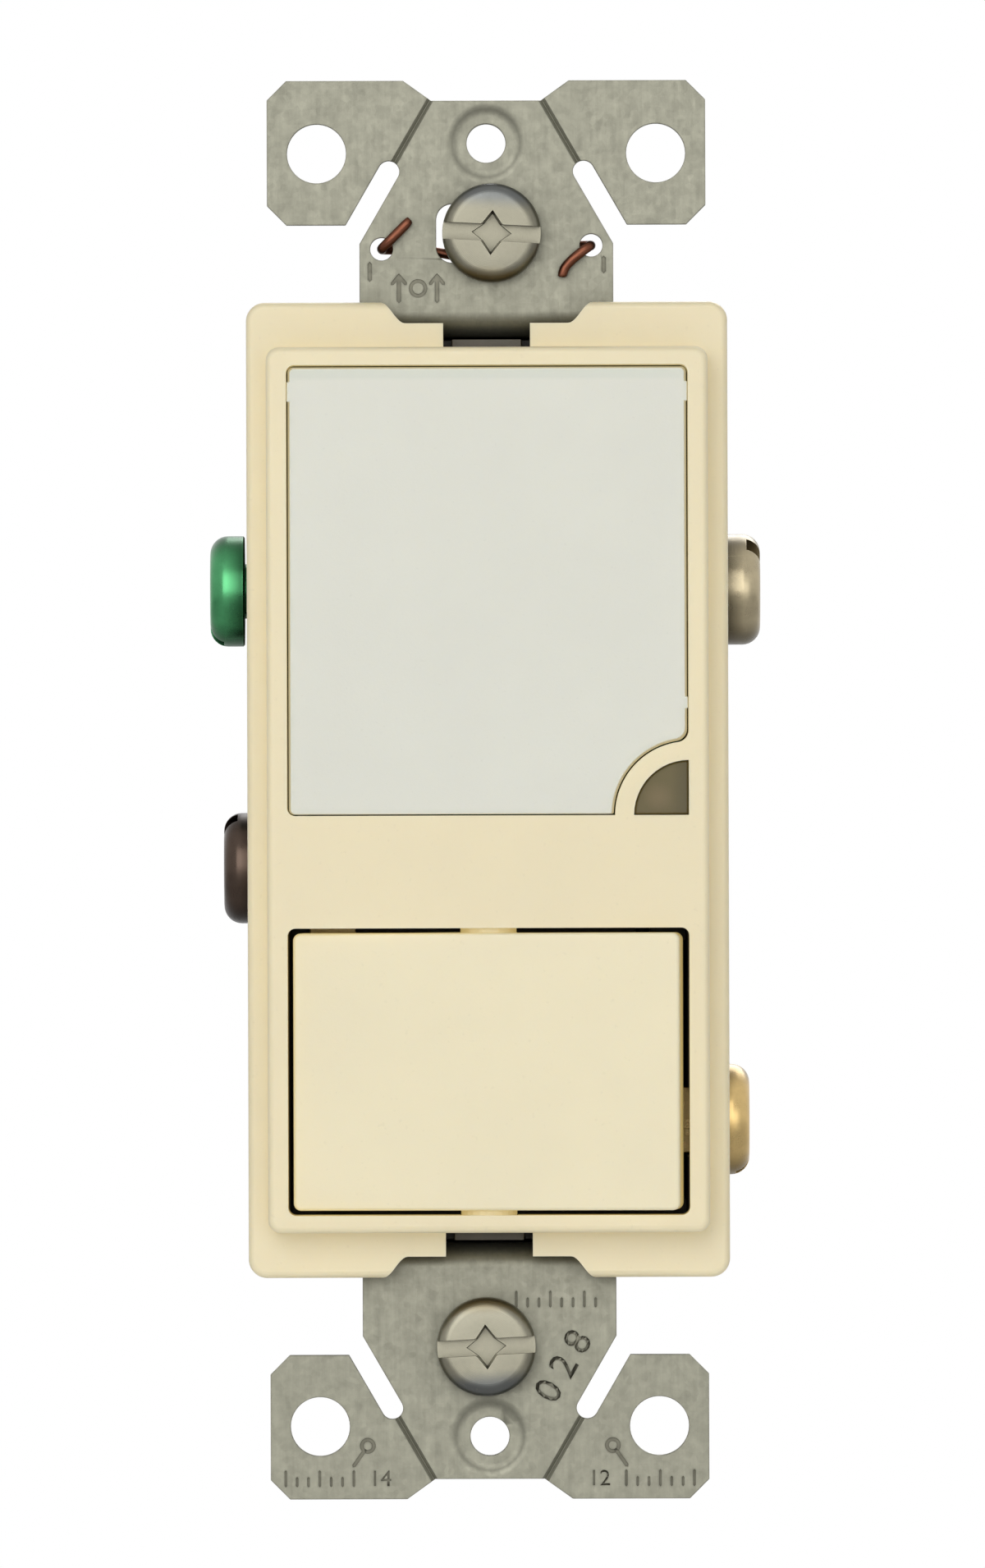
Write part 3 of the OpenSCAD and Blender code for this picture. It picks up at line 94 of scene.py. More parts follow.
class SwitchColours(bpy.types.PropertyGroup):
    """Colours of the mouldings, metals and works."""
    ivory: tint("Ivory", "Cover moulding", 234, 222, 187)
    rocker: tint("Rocker", "Rocker moulding", 235, 225, 192)
    lens: tint("Lens", "Frosted light guide", 219, 219, 207)
    lens_rim: tint("Lens rim", "Edge of the light guide", 206, 211, 198)
    window: tint("Window", "Dark window over the light sensor", 100, 90, 56)
    warm_cell: tint("Warm cell", "Seen through the window", 178, 148, 118)
    zinc: tint("Zinc", "Galvanised strap", 131, 130, 116)
    # stamped metal, also darkened as painted shade in the grooves
    sheared_and_shaded: tint("Sheared zinc", "Stamped marks in the strap", 108, 106, 93)
    bronze: tint("Bronze", "Ground clip wire", 106, 66, 50)
    passivated: tint("Passivated zinc", "Box screws", 131, 128, 113)
    # the next two colours are painted reflections on the box screws' heads
    near_side_reflection: tint("Near side", "Box heads by the cover", 104, 92, 66)
    far_side_reflection: tint("Far side", "Box heads off the cover", 92, 95, 96)
    nickel: tint("Nickel", "Neutral screw and assembly screws", 172, 160, 132)
    green: tint("Green", "Ground screw plating", 76, 146, 98)
    black_oxide: tint("Black oxide", "Load screw plating", 78, 66, 58)
    brass: tint("Brass", "Line screw and terminals", 202, 174, 118)
    drawn: tint("Drawn lines", "Lines of the rolled brass", 120, 96, 60)
    tin: tint("Tin", "Neutral terminal plating", 196, 192, 178)
    silver: tint("Silver", "Contacts", 214, 212, 205)
    housing: tint("Housing", "Rear moulding", 70, 65, 53)
    fibre: tint("Fibre", "Captive screw washers", 128, 106, 76)
    acetal: tint("Acetal", "Plunger", 224, 222, 210)
    mask: tint("Solder mask", "Circuit board", 36, 92, 58)
    epoxy: tint("Epoxy", "Light emitters' cases", 226, 226, 214)
    phosphor: tint("Phosphor", "Light emitters' dice", 236, 214, 120)
    reflector: tint("Reflector", "White box behind the lens", 238, 238, 232)
    yellowed: tint("Yellowed", "Back of the white box", 232, 222, 190)
    cell: tint("Cell", "Photocell's ceramic", 206, 172, 140)
    track: tint("Track", "Photocell's winding track", 150, 62, 34)
    black: tint("Black", "Moulded epoxy and shroud", 26, 26, 27)
    etched: tint("Etched", "Bar marked on the transistor", 120, 120, 118)
    lacquer: tint("Lacquer", "Resistor's coat", 108, 150, 186)
    dip: tint("Dip", "Film capacitor's coat", 176, 96, 34)
    ink: tint("Ink", "Bar printed on the film capacitor", 60, 36, 22)
    sleeve: tint("Sleeve", "Filter capacitor's sleeve", 30, 34, 70)
    stripe: tint("Stripe", "Filter capacitor's pale stripe", 196, 200, 208)
    aluminium: tint("Aluminium", "Capacitor's can, diodes' bands", 188, 190, 192)
    white_lead: tint("White lead", "Neutral lead's insulation", 216, 216, 206)
    black_lead: tint("Black lead", "Line lead's insulation", 20, 20, 21)


class SwitchSizes(bpy.types.PropertyGroup):
    """Sizes of the small edges, the screws, the stamped marks and the stage."""
    mould_edge: length("Mould edge", "Rounding of the moulded edges", 0.14)
    sheet_edge: length("Sheet edge", "Rounding of the sheet metal edges", 0.1)
    turned_edge: length("Turned edge", "Rounding of the screw edges", 0.07)
    box_rim: length("Box rim", "Rounding of the box screws' heads", 0.95)
    terminal_rim: length("Terminal rim", "Rounding of the terminal screws' heads", 1.35)
    thread_pitch: length("Thread pitch", "Pitch of the 6-32 and 8-32 threads", 25.4 / 32)
    stamp_depth: length("Stamp depth", "Depth of the marks in the strap", 0.13)
    camera_back: length("Camera distance", "From the face to the camera", 1700)
    camera_roll: FloatProperty(name="Camera roll", description="How far the camera leans",
                               default=math.radians(0.18), unit="ROTATION", subtype="ANGLE")
    frame_height: length("Frame height", "What the camera sees at the face", 117)
    floor_drop: length("Floor drop", "From the switch's middle to the floor", 160)
    floor_reach: length("Floor reach", "Radius of the floor", 1600)


def hues():
    return bpy.context.scene.switch_colours


def sizes():
    return bpy.context.scene.switch_sizes


# ---- node trees

class Tree:
    """Short ways to add and join nodes in one node tree."""

    def __init__(self, tree):
        self.tree = tree
        self.tree.nodes.clear()

    def add(self, kind, inputs=None, **settings):
        """Adds a node, sets its properties and feeds its inputs."""
        node = self.tree.nodes.new(kind)
        for name, value in settings.items():
            setattr(node, name, value)
        self.feed(node, inputs or {})
        return node

    def feed(self, node, inputs):
        """Gives inputs of a node a value or a link each."""
        for name, value in inputs.items():
            if isinstance(value, SOCKET):
                self.tree.links.new(value, node.inputs[name])
            else:
                node.inputs[name].default_value = value

    def math(self, operation, *values):
        return self.add("ShaderNodeMath", dict(enumerate(values)),
                        operation=operation).outputs[0]

    def times(self, first, second):
        return self.math("MULTIPLY", first, second)

    def minus(self, first, second):
        return self.math("SUBTRACT", first, second)

    def span(self, *sides):
        """The diagonal over two sides."""
        return self.math("SQRT", self.math("ADD", *(
            self.math("POWER", side, 2.0) for side in sides)))

    def step(self, value, pitch):
        """How far a value lies along its step, from 0 to 1."""
        return self.math("FRACT", self.math("DIVIDE", value, pitch))

    def vector(self, operation, *values):
        node = self.add("ShaderNodeVectorMath", dict(enumerate(values)), operation=operation)
        return node.outputs["Value" if operation in ("DOT_PRODUCT", "LENGTH") else 0]

    def scale(self, value, low, high, to_low=0.0, to_high=1.0, smooth=False):
        """Carries a value from one range to another, and keeps it there."""
        return self.add("ShaderNodeMapRange", {
            "Value": value, "From Min": low, "From Max": high, "To Min": to_low,
            "To Max": to_high}, interpolation_type="SMOOTHSTEP" if smooth else "LINEAR"
        ).outputs["Result"]

    def stripe(self, value, centre, width, soft=0.05 * MM):
        """1 where a value lies within half a width of the centre, and 0 elsewhere."""
        off = self.math("ABSOLUTE", self.minus(value, centre))
        return self.scale(off, (width + soft) / 2, (width - soft) / 2)

    def bar(self, **stripes):
        """1 inside a stripe on each of two axes, given by its centre and width."""
        return self.times(*(self.stripe(self.axis(name), *size)
                            for name, size in stripes.items()))

    def mix(self, mask, first, second, share=1.0):
        """The first colour, with a share of the second where the mask is 1."""
        first, second = (colour if isinstance(colour, SOCKET) else (*colour, 1.0)
                         for colour in (first, second))
        mask = self.times(mask, share) if share < 1 else mask
        return self.add("ShaderNodeMix", {0: mask, 6: first, 7: second},
                        data_type="RGBA").outputs[2]

    def noise(self, place, size, detail=2.0, roughness=0.5, stretch=None):
        """Noise from 0 to 1, whose features are about `size` metres across."""
        if stretch:
            place = self.vector("MULTIPLY", place, stretch)
        scale = self.math("DIVIDE", 1.0, size) if isinstance(size, SOCKET) else 1 / size
        return self.add("ShaderNodeTexNoise", {
            "Vector": place, "Scale": scale, "Detail": detail,
            "Roughness": roughness}).outputs["Fac"]

    def place(self):
        """The point on the piece, in metres, which moves with the piece."""
        return self.add("ShaderNodeTexCoord").outputs["Object"]

    def axis(self, name):
        """The X, Y or Z of the point on the piece."""
        return self.add("ShaderNodeSeparateXYZ", {0: self.place()}).outputs[name]

    def bump(self, height, depth):
        """The normal of a surface raised by a height, of the given depth in metres."""
        return self.add("ShaderNodeBump", {"Height": height, "Distance": depth}).outputs[0]

    def group(self, name, **inputs):
        node = self.add("ShaderNodeGroup", node_tree=bpy.data.node_groups[name])
        self.feed(node, {key.replace("_", " ").title(): value
                         for key, value in inputs.items()})
        return node.outputs


def new_group(name, inputs, outputs):
    """A node group with float inputs, each with its default, and float outputs."""
    group = bpy.data.node_groups.new(name, "ShaderNodeTree")
    for key, default in inputs.items():
        socket = group.interface.new_socket(key, in_out="INPUT", socket_type="NodeSocketFloat")
        socket.default_value = default
    for key in outputs:
        group.interface.new_socket(key, in_out="OUTPUT", socket_type="NodeSocketFloat")
    tree = Tree(group)
    return tree, tree.add("NodeGroupInput").outputs, tree.add("NodeGroupOutput")


def make_moulded_skin():
    """Fine grain of a moulded plastic face, with slow changes of tone and small specks."""
    tree, given, out = new_group("moulded skin", {"Grain": 0.25 * MM, "Flow": 9 * MM},
                                 ["Height", "Tone", "Speck"])
    place = tree.place()
    fine = tree.noise(place, tree.times(given["Grain"], 1.6), 1.0)
    tree.feed(out, {"Height": tree.noise(place, given["Grain"], 3.0),
                    "Tone": tree.scale(tree.noise(place, given["Flow"]), 0.3, 0.7),
                    "Speck": tree.scale(fine, 0.68, 0.8)})


# the edge mask marks real wear on metals and paints a highlight on mouldings
def make_edge_wear_and_highlight():
    """A mask that is 1 where two faces meet at an edge, and 0 on the open faces."""
    tree, given, out = new_group("edge wear and highlight", {"Reach": 0.15 * MM, "Breakup": 1.2 * MM},
                                 ["Mask"])
    rounded = tree.add("ShaderNodeBevel", {"Radius": given["Reach"]}, samples=4)
    true = tree.add("ShaderNodeNewGeometry").outputs["Normal"]
    same = tree.vector("DOT_PRODUCT", rounded.outputs[0], true)
    spots = tree.noise(tree.place(), given["Breakup"], 3.0)
    broken = tree.scale(spots, 0.35, 0.65, 0.25, 1.0)
    tree.feed(out, {"Mask": tree.times(tree.scale(same, 0.995, 0.9), broken)})


def make_painted_corner_shade():
    """A mask that grows to 1 in corners and slots, where it paints shade."""
    tree, given, out = new_group("painted corner shade", {"Reach": 1.2 * MM}, ["Mask"])
    open_sky = tree.add("ShaderNodeAmbientOcclusion", {"Distance": given["Reach"]}, samples=4)
    tree.feed(out, {"Mask": tree.scale(open_sky.outputs["AO"], 0.85, 0.25)})


def make_zinc_bloom():
    """Mottled zinc: soft blotches, small crystals and streaks along the rolling."""
    tree, given, out = new_group("zinc bloom", {"Blotch": 1.1 * MM}, ["Tone", "Height"])
    place = tree.place()
    blotch = tree.noise(place, given["Blotch"], 6.0, 0.65)
    cells = tree.add("ShaderNodeTexVoronoi", {"Vector": place, "Scale": 1 / (0.45 * MM)})
    streak = tree.noise(place, 0.35 * MM, 3, 0.6, stretch=(1, 1, 0.08))
    mixed = tree.math("ADD", tree.times(blotch, 0.8), tree.times(cells.outputs["Color"], 0.2))
    mixed = tree.math("ADD", mixed, tree.times(streak, 0.4))
    tree.feed(out, {"Tone": tree.scale(mixed, 0.4, 1.0), "Height": streak})


def make_turned_rings():
    """Fine rings left by turning, about the axis through a point along X, Y or Z."""
    points = {f"{word} {axis}": 0.0 for word in ("Centre", "Along") for axis in "XYZ"}
    tree, given, out = new_group("turned rings", {**points, "Pitch": 0.12 * MM}, ["Height"])
    centre, along = (tree.add("ShaderNodeCombineXYZ", {
        axis: given[f"{word} {axis}"] for axis in "XYZ"}).outputs[0]
        for word in ("Centre", "Along"))
    arm = tree.vector("SUBTRACT", tree.place(), centre)
    radius = tree.vector("LENGTH", tree.vector("CROSS_PRODUCT", arm, along))
    turns = tree.times(tree.math("DIVIDE", radius, given["Pitch"]), 2 * math.pi)
    tree.feed(out, {"Height": tree.scale(tree.math("SINE", turns), -1.0, 1.0)})


def make_fine_scratches():
    """Hair scratches that run both ways across a rolled or handled surface."""
    tree, given, out = new_group("fine scratches", {"Length": 3 * MM}, ["Mask"])
    place = tree.place()
    lines = [tree.scale(tree.noise(place, given["Length"], 4.0, 0.7, stretch), 0.62, 0.7)
             for stretch in ((1, 1, 24), (24, 8, 1))]
    tree.feed(out, {"Mask": tree.math("MAXIMUM", *lines)})


SHARED_EFFECTS = (make_moulded_skin, make_edge_wear_and_highlight, make_painted_corner_shade, make_zinc_bloom,
                  make_turned_rings, make_fine_scratches)


# ---- materials

def new_material(name):
    """A new material, its tree and its Principled shader."""
    material = bpy.data.materials.new(name)
    material.use_nodes = True
    tree = Tree(material.node_tree)
    shader = tree.add("ShaderNodeBsdfPrincipled")
    tree.add("ShaderNodeOutputMaterial", {"Surface": shader.outputs[0]})
    return material, tree, shader


def plastic(name, colour, roughness=0.42, grain=0.25 * MM, depth=0.006 * MM, corner_shade_share=0.25,
            glow=0.0, painted_gap_light=(0, 0, 0), specular=0.5, marks=None):
    """A moulded plastic: fine grain, slow tone, a painted edge highlight and painted corner
    shade.

    glow is how much light soaks in below the surface, and the gap colour is painted light, an
    emission that lightens the walls of a narrow gap. marks takes the tree and the plain colour,
    and returns the marked colour.
    """
    material, tree, shader = new_material(name)
    skin = tree.group("moulded skin", grain=grain)
    body = tree.mix(skin["Tone"], shade(colour, 0.975), shade(colour, 1.02))
    body = tree.mix(skin["Speck"], body, shade(colour, 0.8), 0.2)
    if marks:
        body = marks(tree, body)
    # painted highlight: the edges are lightened
    body = tree.mix(tree.group("edge wear and highlight")["Mask"], body, shade(colour, 1.1), 0.3)
    # painted shade: corners and slots are darkened
    seam = tree.group("painted corner shade")["Mask"]
    tree.feed(shader, {
        "Base Color": tree.mix(seam, body, shade(colour, 0.5), corner_shade_share),
        "Roughness": tree.scale(skin["Tone"], 0, 1, roughness - 0.04, roughness + 0.04),
        "Specular IOR Level": specular, "Normal": tree.bump(skin["Height"], depth)})
    # painted light: an emission lightens the walls of narrow gaps
    if glow:
        tree.feed(shader, {
            "Subsurface Weight": glow, "Subsurface Radius": (1.0, 0.85, 0.6),
            "Subsurface Scale": 1.0 * MM, "Emission Strength": 1.0,
            "Emission Color": tree.mix(seam, (0, 0, 0), painted_gap_light)})
    return material


def metal(name, colour, roughness=0.3, centre=None, along=(0, 0, 1), marks=None):
    """A plated metal with soft blotches, scratches, worn edges and painted shade in its
    corners.

    A turned piece gets fine rings about its centre. marks is as for a plastic.
    """
    material, tree, shader = new_material(name)
    place = tree.place()
    blotch = tree.scale(tree.noise(place, 1.4 * MM, 4, 0.6), 0.35, 0.65)
    body = tree.mix(blotch, shade(colour, 0.88), shade(colour, 1.06))
    if marks:
        body = marks(tree, body)
    scratch = tree.group("fine scratches")["Mask"]
    body = tree.mix(scratch, body, shade(colour, 1.3), 0.25)
    body = tree.mix(tree.group("edge wear and highlight")["Mask"], body, shade(colour, 1.25), 0.45)
    # painted shade: corners and slots are darkened
    seam = tree.group("painted corner shade", reach=0.7 * MM)["Mask"]
    height = tree.noise(place, 0.18 * MM, 3, 0.6)
    if centre is not None:
        rings = tree.group("turned rings", **{
            f"{word}_{axis}": value for word, point in (("centre", centre), ("along", along))
            for axis, value in zip("xyz", point)})
        height = tree.math("ADD", height, tree.times(rings["Height"], 0.6))
    tree.feed(shader, {
        "Base Color": tree.mix(seam, body, shade(colour, 0.28), 0.6), "Metallic": 1.0,
        "Roughness": tree.math("ADD", tree.times(scratch, 0.1), tree.scale(
            blotch, 0, 1, roughness - 0.05, roughness + 0.05)),
        "Normal": tree.bump(height, 0.003 * MM)})
    return material


def zinc_sheet(name, colour):
    """Galvanised sheet: mottled, with darker rubbed edges and painted shade in the corners."""
    material, tree, shader = new_material(name)
    bloom = tree.group("zinc bloom")
    body = tree.mix(bloom["Tone"], shade(colour, 0.84), shade(colour, 1.12))
    # the last row paints shade into the corners
    for effect, inputs, factor, share in (("fine scratches", {}, 1.35, 0.2),
                                          ("edge wear and highlight", {"reach": 0.22 * MM}, 0.5, 0.6),
                                          ("painted corner shade", {"reach": 2.2 * MM}, 0.3, 0.5)):
        mask = tree.group(effect, **inputs)["Mask"]
        body = tree.mix(mask, body, shade(colour, factor), share)
    tree.feed(shader, {"Base Color": body, "Metallic": 0.8,
                       "Roughness": tree.scale(bloom["Tone"], 0, 1, 0.56, 0.42),
                       "Normal": tree.bump(bloom["Height"], 0.006 * MM)})
    return material


# subsurface glow, with painted shade in the corners and painted light from the walls of narrow
# gaps
SUBSURFACE_AND_PAINTED_GAPS = {"corner_shade_share": 0.02, "glow": 0.4, "painted_gap_light": (0.12, 0.1, 0.045)}


# ---- shapes

def paint(piece, material):
    """Gives a piece its material."""
    piece.data.materials.clear()
    piece.data.materials.append(material)
    return piece


def round_edges(piece, width, sharp, segments=2):
    """Rounds the edges that are sharper than an angle in degrees."""
    bevel = piece.modifiers.new("soft edges", "BEVEL")
    bevel.width = width
    bevel.segments = segments
    bevel.limit_method = "ANGLE"
    bevel.angle_limit = math.radians(sharp)
    bevel.harden_normals = True


def soften(piece, width, segments=2):
    """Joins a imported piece's flat facets and rounds its sharp edges."""
    piece.modifiers.new("join corners", "WELD").merge_threshold = SAME_POINT
    flat = piece.modifiers.new("join flats", "DECIMATE")
    flat.decimate_type = "DISSOLVE"
    flat.angle_limit = math.radians(0.5)
    round_edges(piece, width, 35, segments)


def finish(names, material, width=None, segments=2):
    """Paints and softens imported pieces, as mouldings unless a width is given."""
    for name in names.split():
        soften(paint(NODES[name], material), width or sizes().mould_edge, segments)


def round_wire(piece, levels=2):
    """Makes an imported wire of flat facets smooth and round."""
    piece.modifiers.new("join corners", "WELD").merge_threshold = SAME_POINT
    smooth = piece.modifiers.new("round wire", "SUBSURF")
    smooth.levels = smooth.render_levels = levels
    piece.data.shade_smooth()


def middle(name):
    low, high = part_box(name)
    return (low + high) / 2


def turned(degrees, axis):
    return Matrix.Rotation(math.radians(degrees), 4, axis)


def around(reach, share):
    """The point at a reach from the origin, after a share of a whole turn."""
    return reach * math.cos(2 * math.pi * share), reach * math.sin(2 * math.pi * share)


def link(name, data):
    piece = bpy.data.objects.new(name, data)
    bpy.context.scene.collection.objects.link(piece)
    return piece


def mesh_of(name, form):
    """Turns a bmesh into a mesh with its faces facing out."""
    bmesh.ops.recalc_face_normals(form, faces=form.faces)
    mesh = bpy.data.meshes.new(name)
    form.to_mesh(mesh)
    form.free()
    return mesh


def skin_of(name, form, loops, capped=True):
    """A mesh over loops of points, whose last loop joins the first if not capped."""
    for low, high in zip(loops, loops[1:] if capped else loops[1:] + loops[:1]):
        for side in range(len(low)):
            after = (side + 1) % len(low)
            form.faces.new((low[side], low[after], high[after], high[side]))
    if capped:
        form.faces.new(reversed(loops[0]))
        form.faces.new(loops[-1])
    return mesh_of(name, form)


def baked(piece):
    """A piece's mesh with its modifiers worked in."""
    return bpy.data.meshes.new_from_object(
        piece.evaluated_get(bpy.context.evaluated_depsgraph_get()))


def cut(piece, cutters, material_mode="INDEX"):
    """Cuts pieces out of a piece, and gives back the cut mesh alone."""
    form = bmesh.new()
    for cutter in cutters:
        cutter.data.transform(cutter.matrix_world)
        form.from_mesh(cutter.data)
    blade = link("cutter", bpy.data.meshes.new("cutter"))
    form.to_mesh(blade.data)
    form.free()
    for material in cutters[0].data.materials:
        blade.data.materials.append(material)
    knife = piece.modifiers.new("cut", "BOOLEAN")
    knife.operation = "DIFFERENCE"
    knife.solver = "EXACT"
    knife.use_self = True
    knife.material_mode = material_mode
    knife.object = blade
    mesh = baked(piece)
    for spent in (piece, blade, *cutters):
        bpy.data.objects.remove(spent)
    mesh.shade_smooth()
    return mesh


def stack_of_rings(name, rings, sides=56):
    """A closed solid of rings up Z: each a height and a radius, or one by share of turn."""
    form = bmesh.new()
    return skin_of(name, form, [[form.verts.new((*around(
        radius(side / sides) if callable(radius) else radius, side / sides), height))
        for side in range(sides)] for height, radius in rings])


def prism(name, outline, floor, top, floor_scale=1.0):
    """A closed solid over an outline of points, narrower at its floor by a scale."""
    form = bmesh.new()
    return skin_of(name, form, [[form.verts.new((x * scale, y * scale, height))
                                 for x, y in outline]
                                for height, scale in ((floor, floor_scale), (top, 1))])


def screw_rings(head_d, head_h, rim, shank_d, length, neck_d, neck_len):
    """Rings of a screw along Z: its head above z = 0, its neck and its thread below."""
    pitch = sizes().thread_pitch
    head, outer, neck = head_d / 2, shank_d / 2, neck_d / 2
    depth = 0.6 * pitch
    tip = 0.6 * depth

    def thread_at(down):
        """Radius by share of turn, at a depth below the head."""
        to_tip = min(1, max(0, length - down) / pitch)
        past_neck = min(1, max(0, (down - neck_len) / pitch))

        def radius(share):
            wave = abs(((down / pitch - share) % 1) * 2 - 1)
            groove = depth * min(1, max(0, (wave - 0.12) / 0.76))
            return min(outer - groove * past_neck, outer - tip + to_tip * tip)
        return radius

    count = round((length - neck_len) / pitch * RINGS_PER_TURN)
    downs = [length - (length - neck_len) * step / count for step in range(count + 1)]
    rings = [(-down, thread_at(down)) for down in downs]
    if neck_len:
        rings += [(-neck_len + 0.1 * MM, neck), (-0.1 * MM, neck)]
    foot = 0.12 * MM
    rings += [(0, neck), (0, head - foot), (foot, head), (head_h - rim, head)]
    for step in range(1, 9):
        out, up = around(rim, step / 32)
        rings.append((head_h - rim + up, head - rim + out))
    return rings


def screw_mesh(name, head_d, head_h, *shape):
    """A screw with a rolled thread, and a head for a flat blade and a cross blade."""
    piece = link(name, stack_of_rings(name, screw_rings(head_d, head_h, *shape)))
    half, point = 0.17 * head_d / 2, 0.26 * head_d
    bar = [(-head_d, -half), (head_d, -half), (head_d, half), (-head_d, half)]
    star = [around(point * (0.6 if step % 2 else 1), step / 8) for step in range(8)]
    over = head_h * 1.5
    mesh = cut(piece, [link("blade", prism("blade", bar, head_h * 0.6, over)),
                       link("cross", prism("cross", star, head_h * 0.5, over, 0.75))])
    mesh.set_sharp_from_angle(angle=math.radians(35))
    mesh.materials.append(None)
    return mesh


def place_screw(node, mesh, material, body, matrix):
    """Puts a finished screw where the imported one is."""
    piece = link("finished_" + node, mesh)
    piece.matrix_world = matrix
    piece.material_slots[0].link = "OBJECT"
    piece.material_slots[0].material = material
    round_edges(piece, sizes().turned_edge, 50)
    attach(piece, body)
    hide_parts(node)


# ---- pieces

class SWITCH_OT_cover(bpy.types.Operator):
    """Finish the front cover"""
    bl_idname = "switch.cover"
    bl_label = "Cover"

    def execute(self, context):
        finish("front_cover", plastic("ivory satin moulding", hues().ivory, **SUBSURFACE_AND_PAINTED_GAPS))
        return {"FINISHED"}


class SWITCH_OT_rocker(bpy.types.Operator):
    """Finish the rocker"""
    bl_idname = "switch.rocker"
    bl_label = "Rocker"

    def execute(self, context):
        finish("rocker", plastic("rocker moulding", hues().rocker, 0.4, **SUBSURFACE_AND_PAINTED_GAPS))
        return {"FINISHED"}


class SWITCH_OT_lens(bpy.types.Operator):
    """Finish the frosted lens and the window over the light sensor"""
    bl_idname = "switch.lens"
    bl_label = "Lens and sensor window"

    def execute(self, context):
        # the lens's gaps get painted light from their walls
        lens = plastic("frosted lens", hues().lens, 0.38, 0.18 * MM, corner_shade_share=0.0, glow=0.3,
                       painted_gap_light=(0.11, 0.1, 0.08), marks=self.guide)
        finish("night_light_lens", lens)
        window = plastic("smoked window", hues().window, 0.22, 0.3 * MM, corner_shade_share=0.1,
                         specular=0.2, marks=self.behind)
        finish("sensor_window", window)
        return {"FINISHED"}

    def guide(self, tree, body):
        """A greener rim all round, and a band along the top edge."""
        rim = tree.group("edge wear and highlight", reach=0.9 * MM)["Mask"]
        body = tree.mix(rim, body, hues().lens_rim, 0.7)
        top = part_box("night_light_lens")[1].z
        band = tree.stripe(tree.axis("Z"), top - 0.45 * MM, 0.7 * MM, 0.3 * MM)
        return tree.mix(band, body, shade(hues().lens_rim, 0.98), 0.5)

    def behind(self, tree, body):
        """What shows faintly through the window: a dark side and a warm cell."""
        spot = middle("sensor_window")
        side = tree.scale(tree.axis("X"), spot.x + 0.7 * MM, spot.x + 1.7 * MM)
        body = tree.mix(side, body, shade(hues().window, 0.55), 0.55)
        cell = spot - Vector((0.2, 0, 0.7)) * MM
        reach = tree.vector("LENGTH", tree.vector("SUBTRACT", tree.place(), cell))
        glow = tree.scale(reach, 2.0 * MM, 0.6 * MM, smooth=True)
        return tree.mix(glow, body, hues().warm_cell, 0.4)


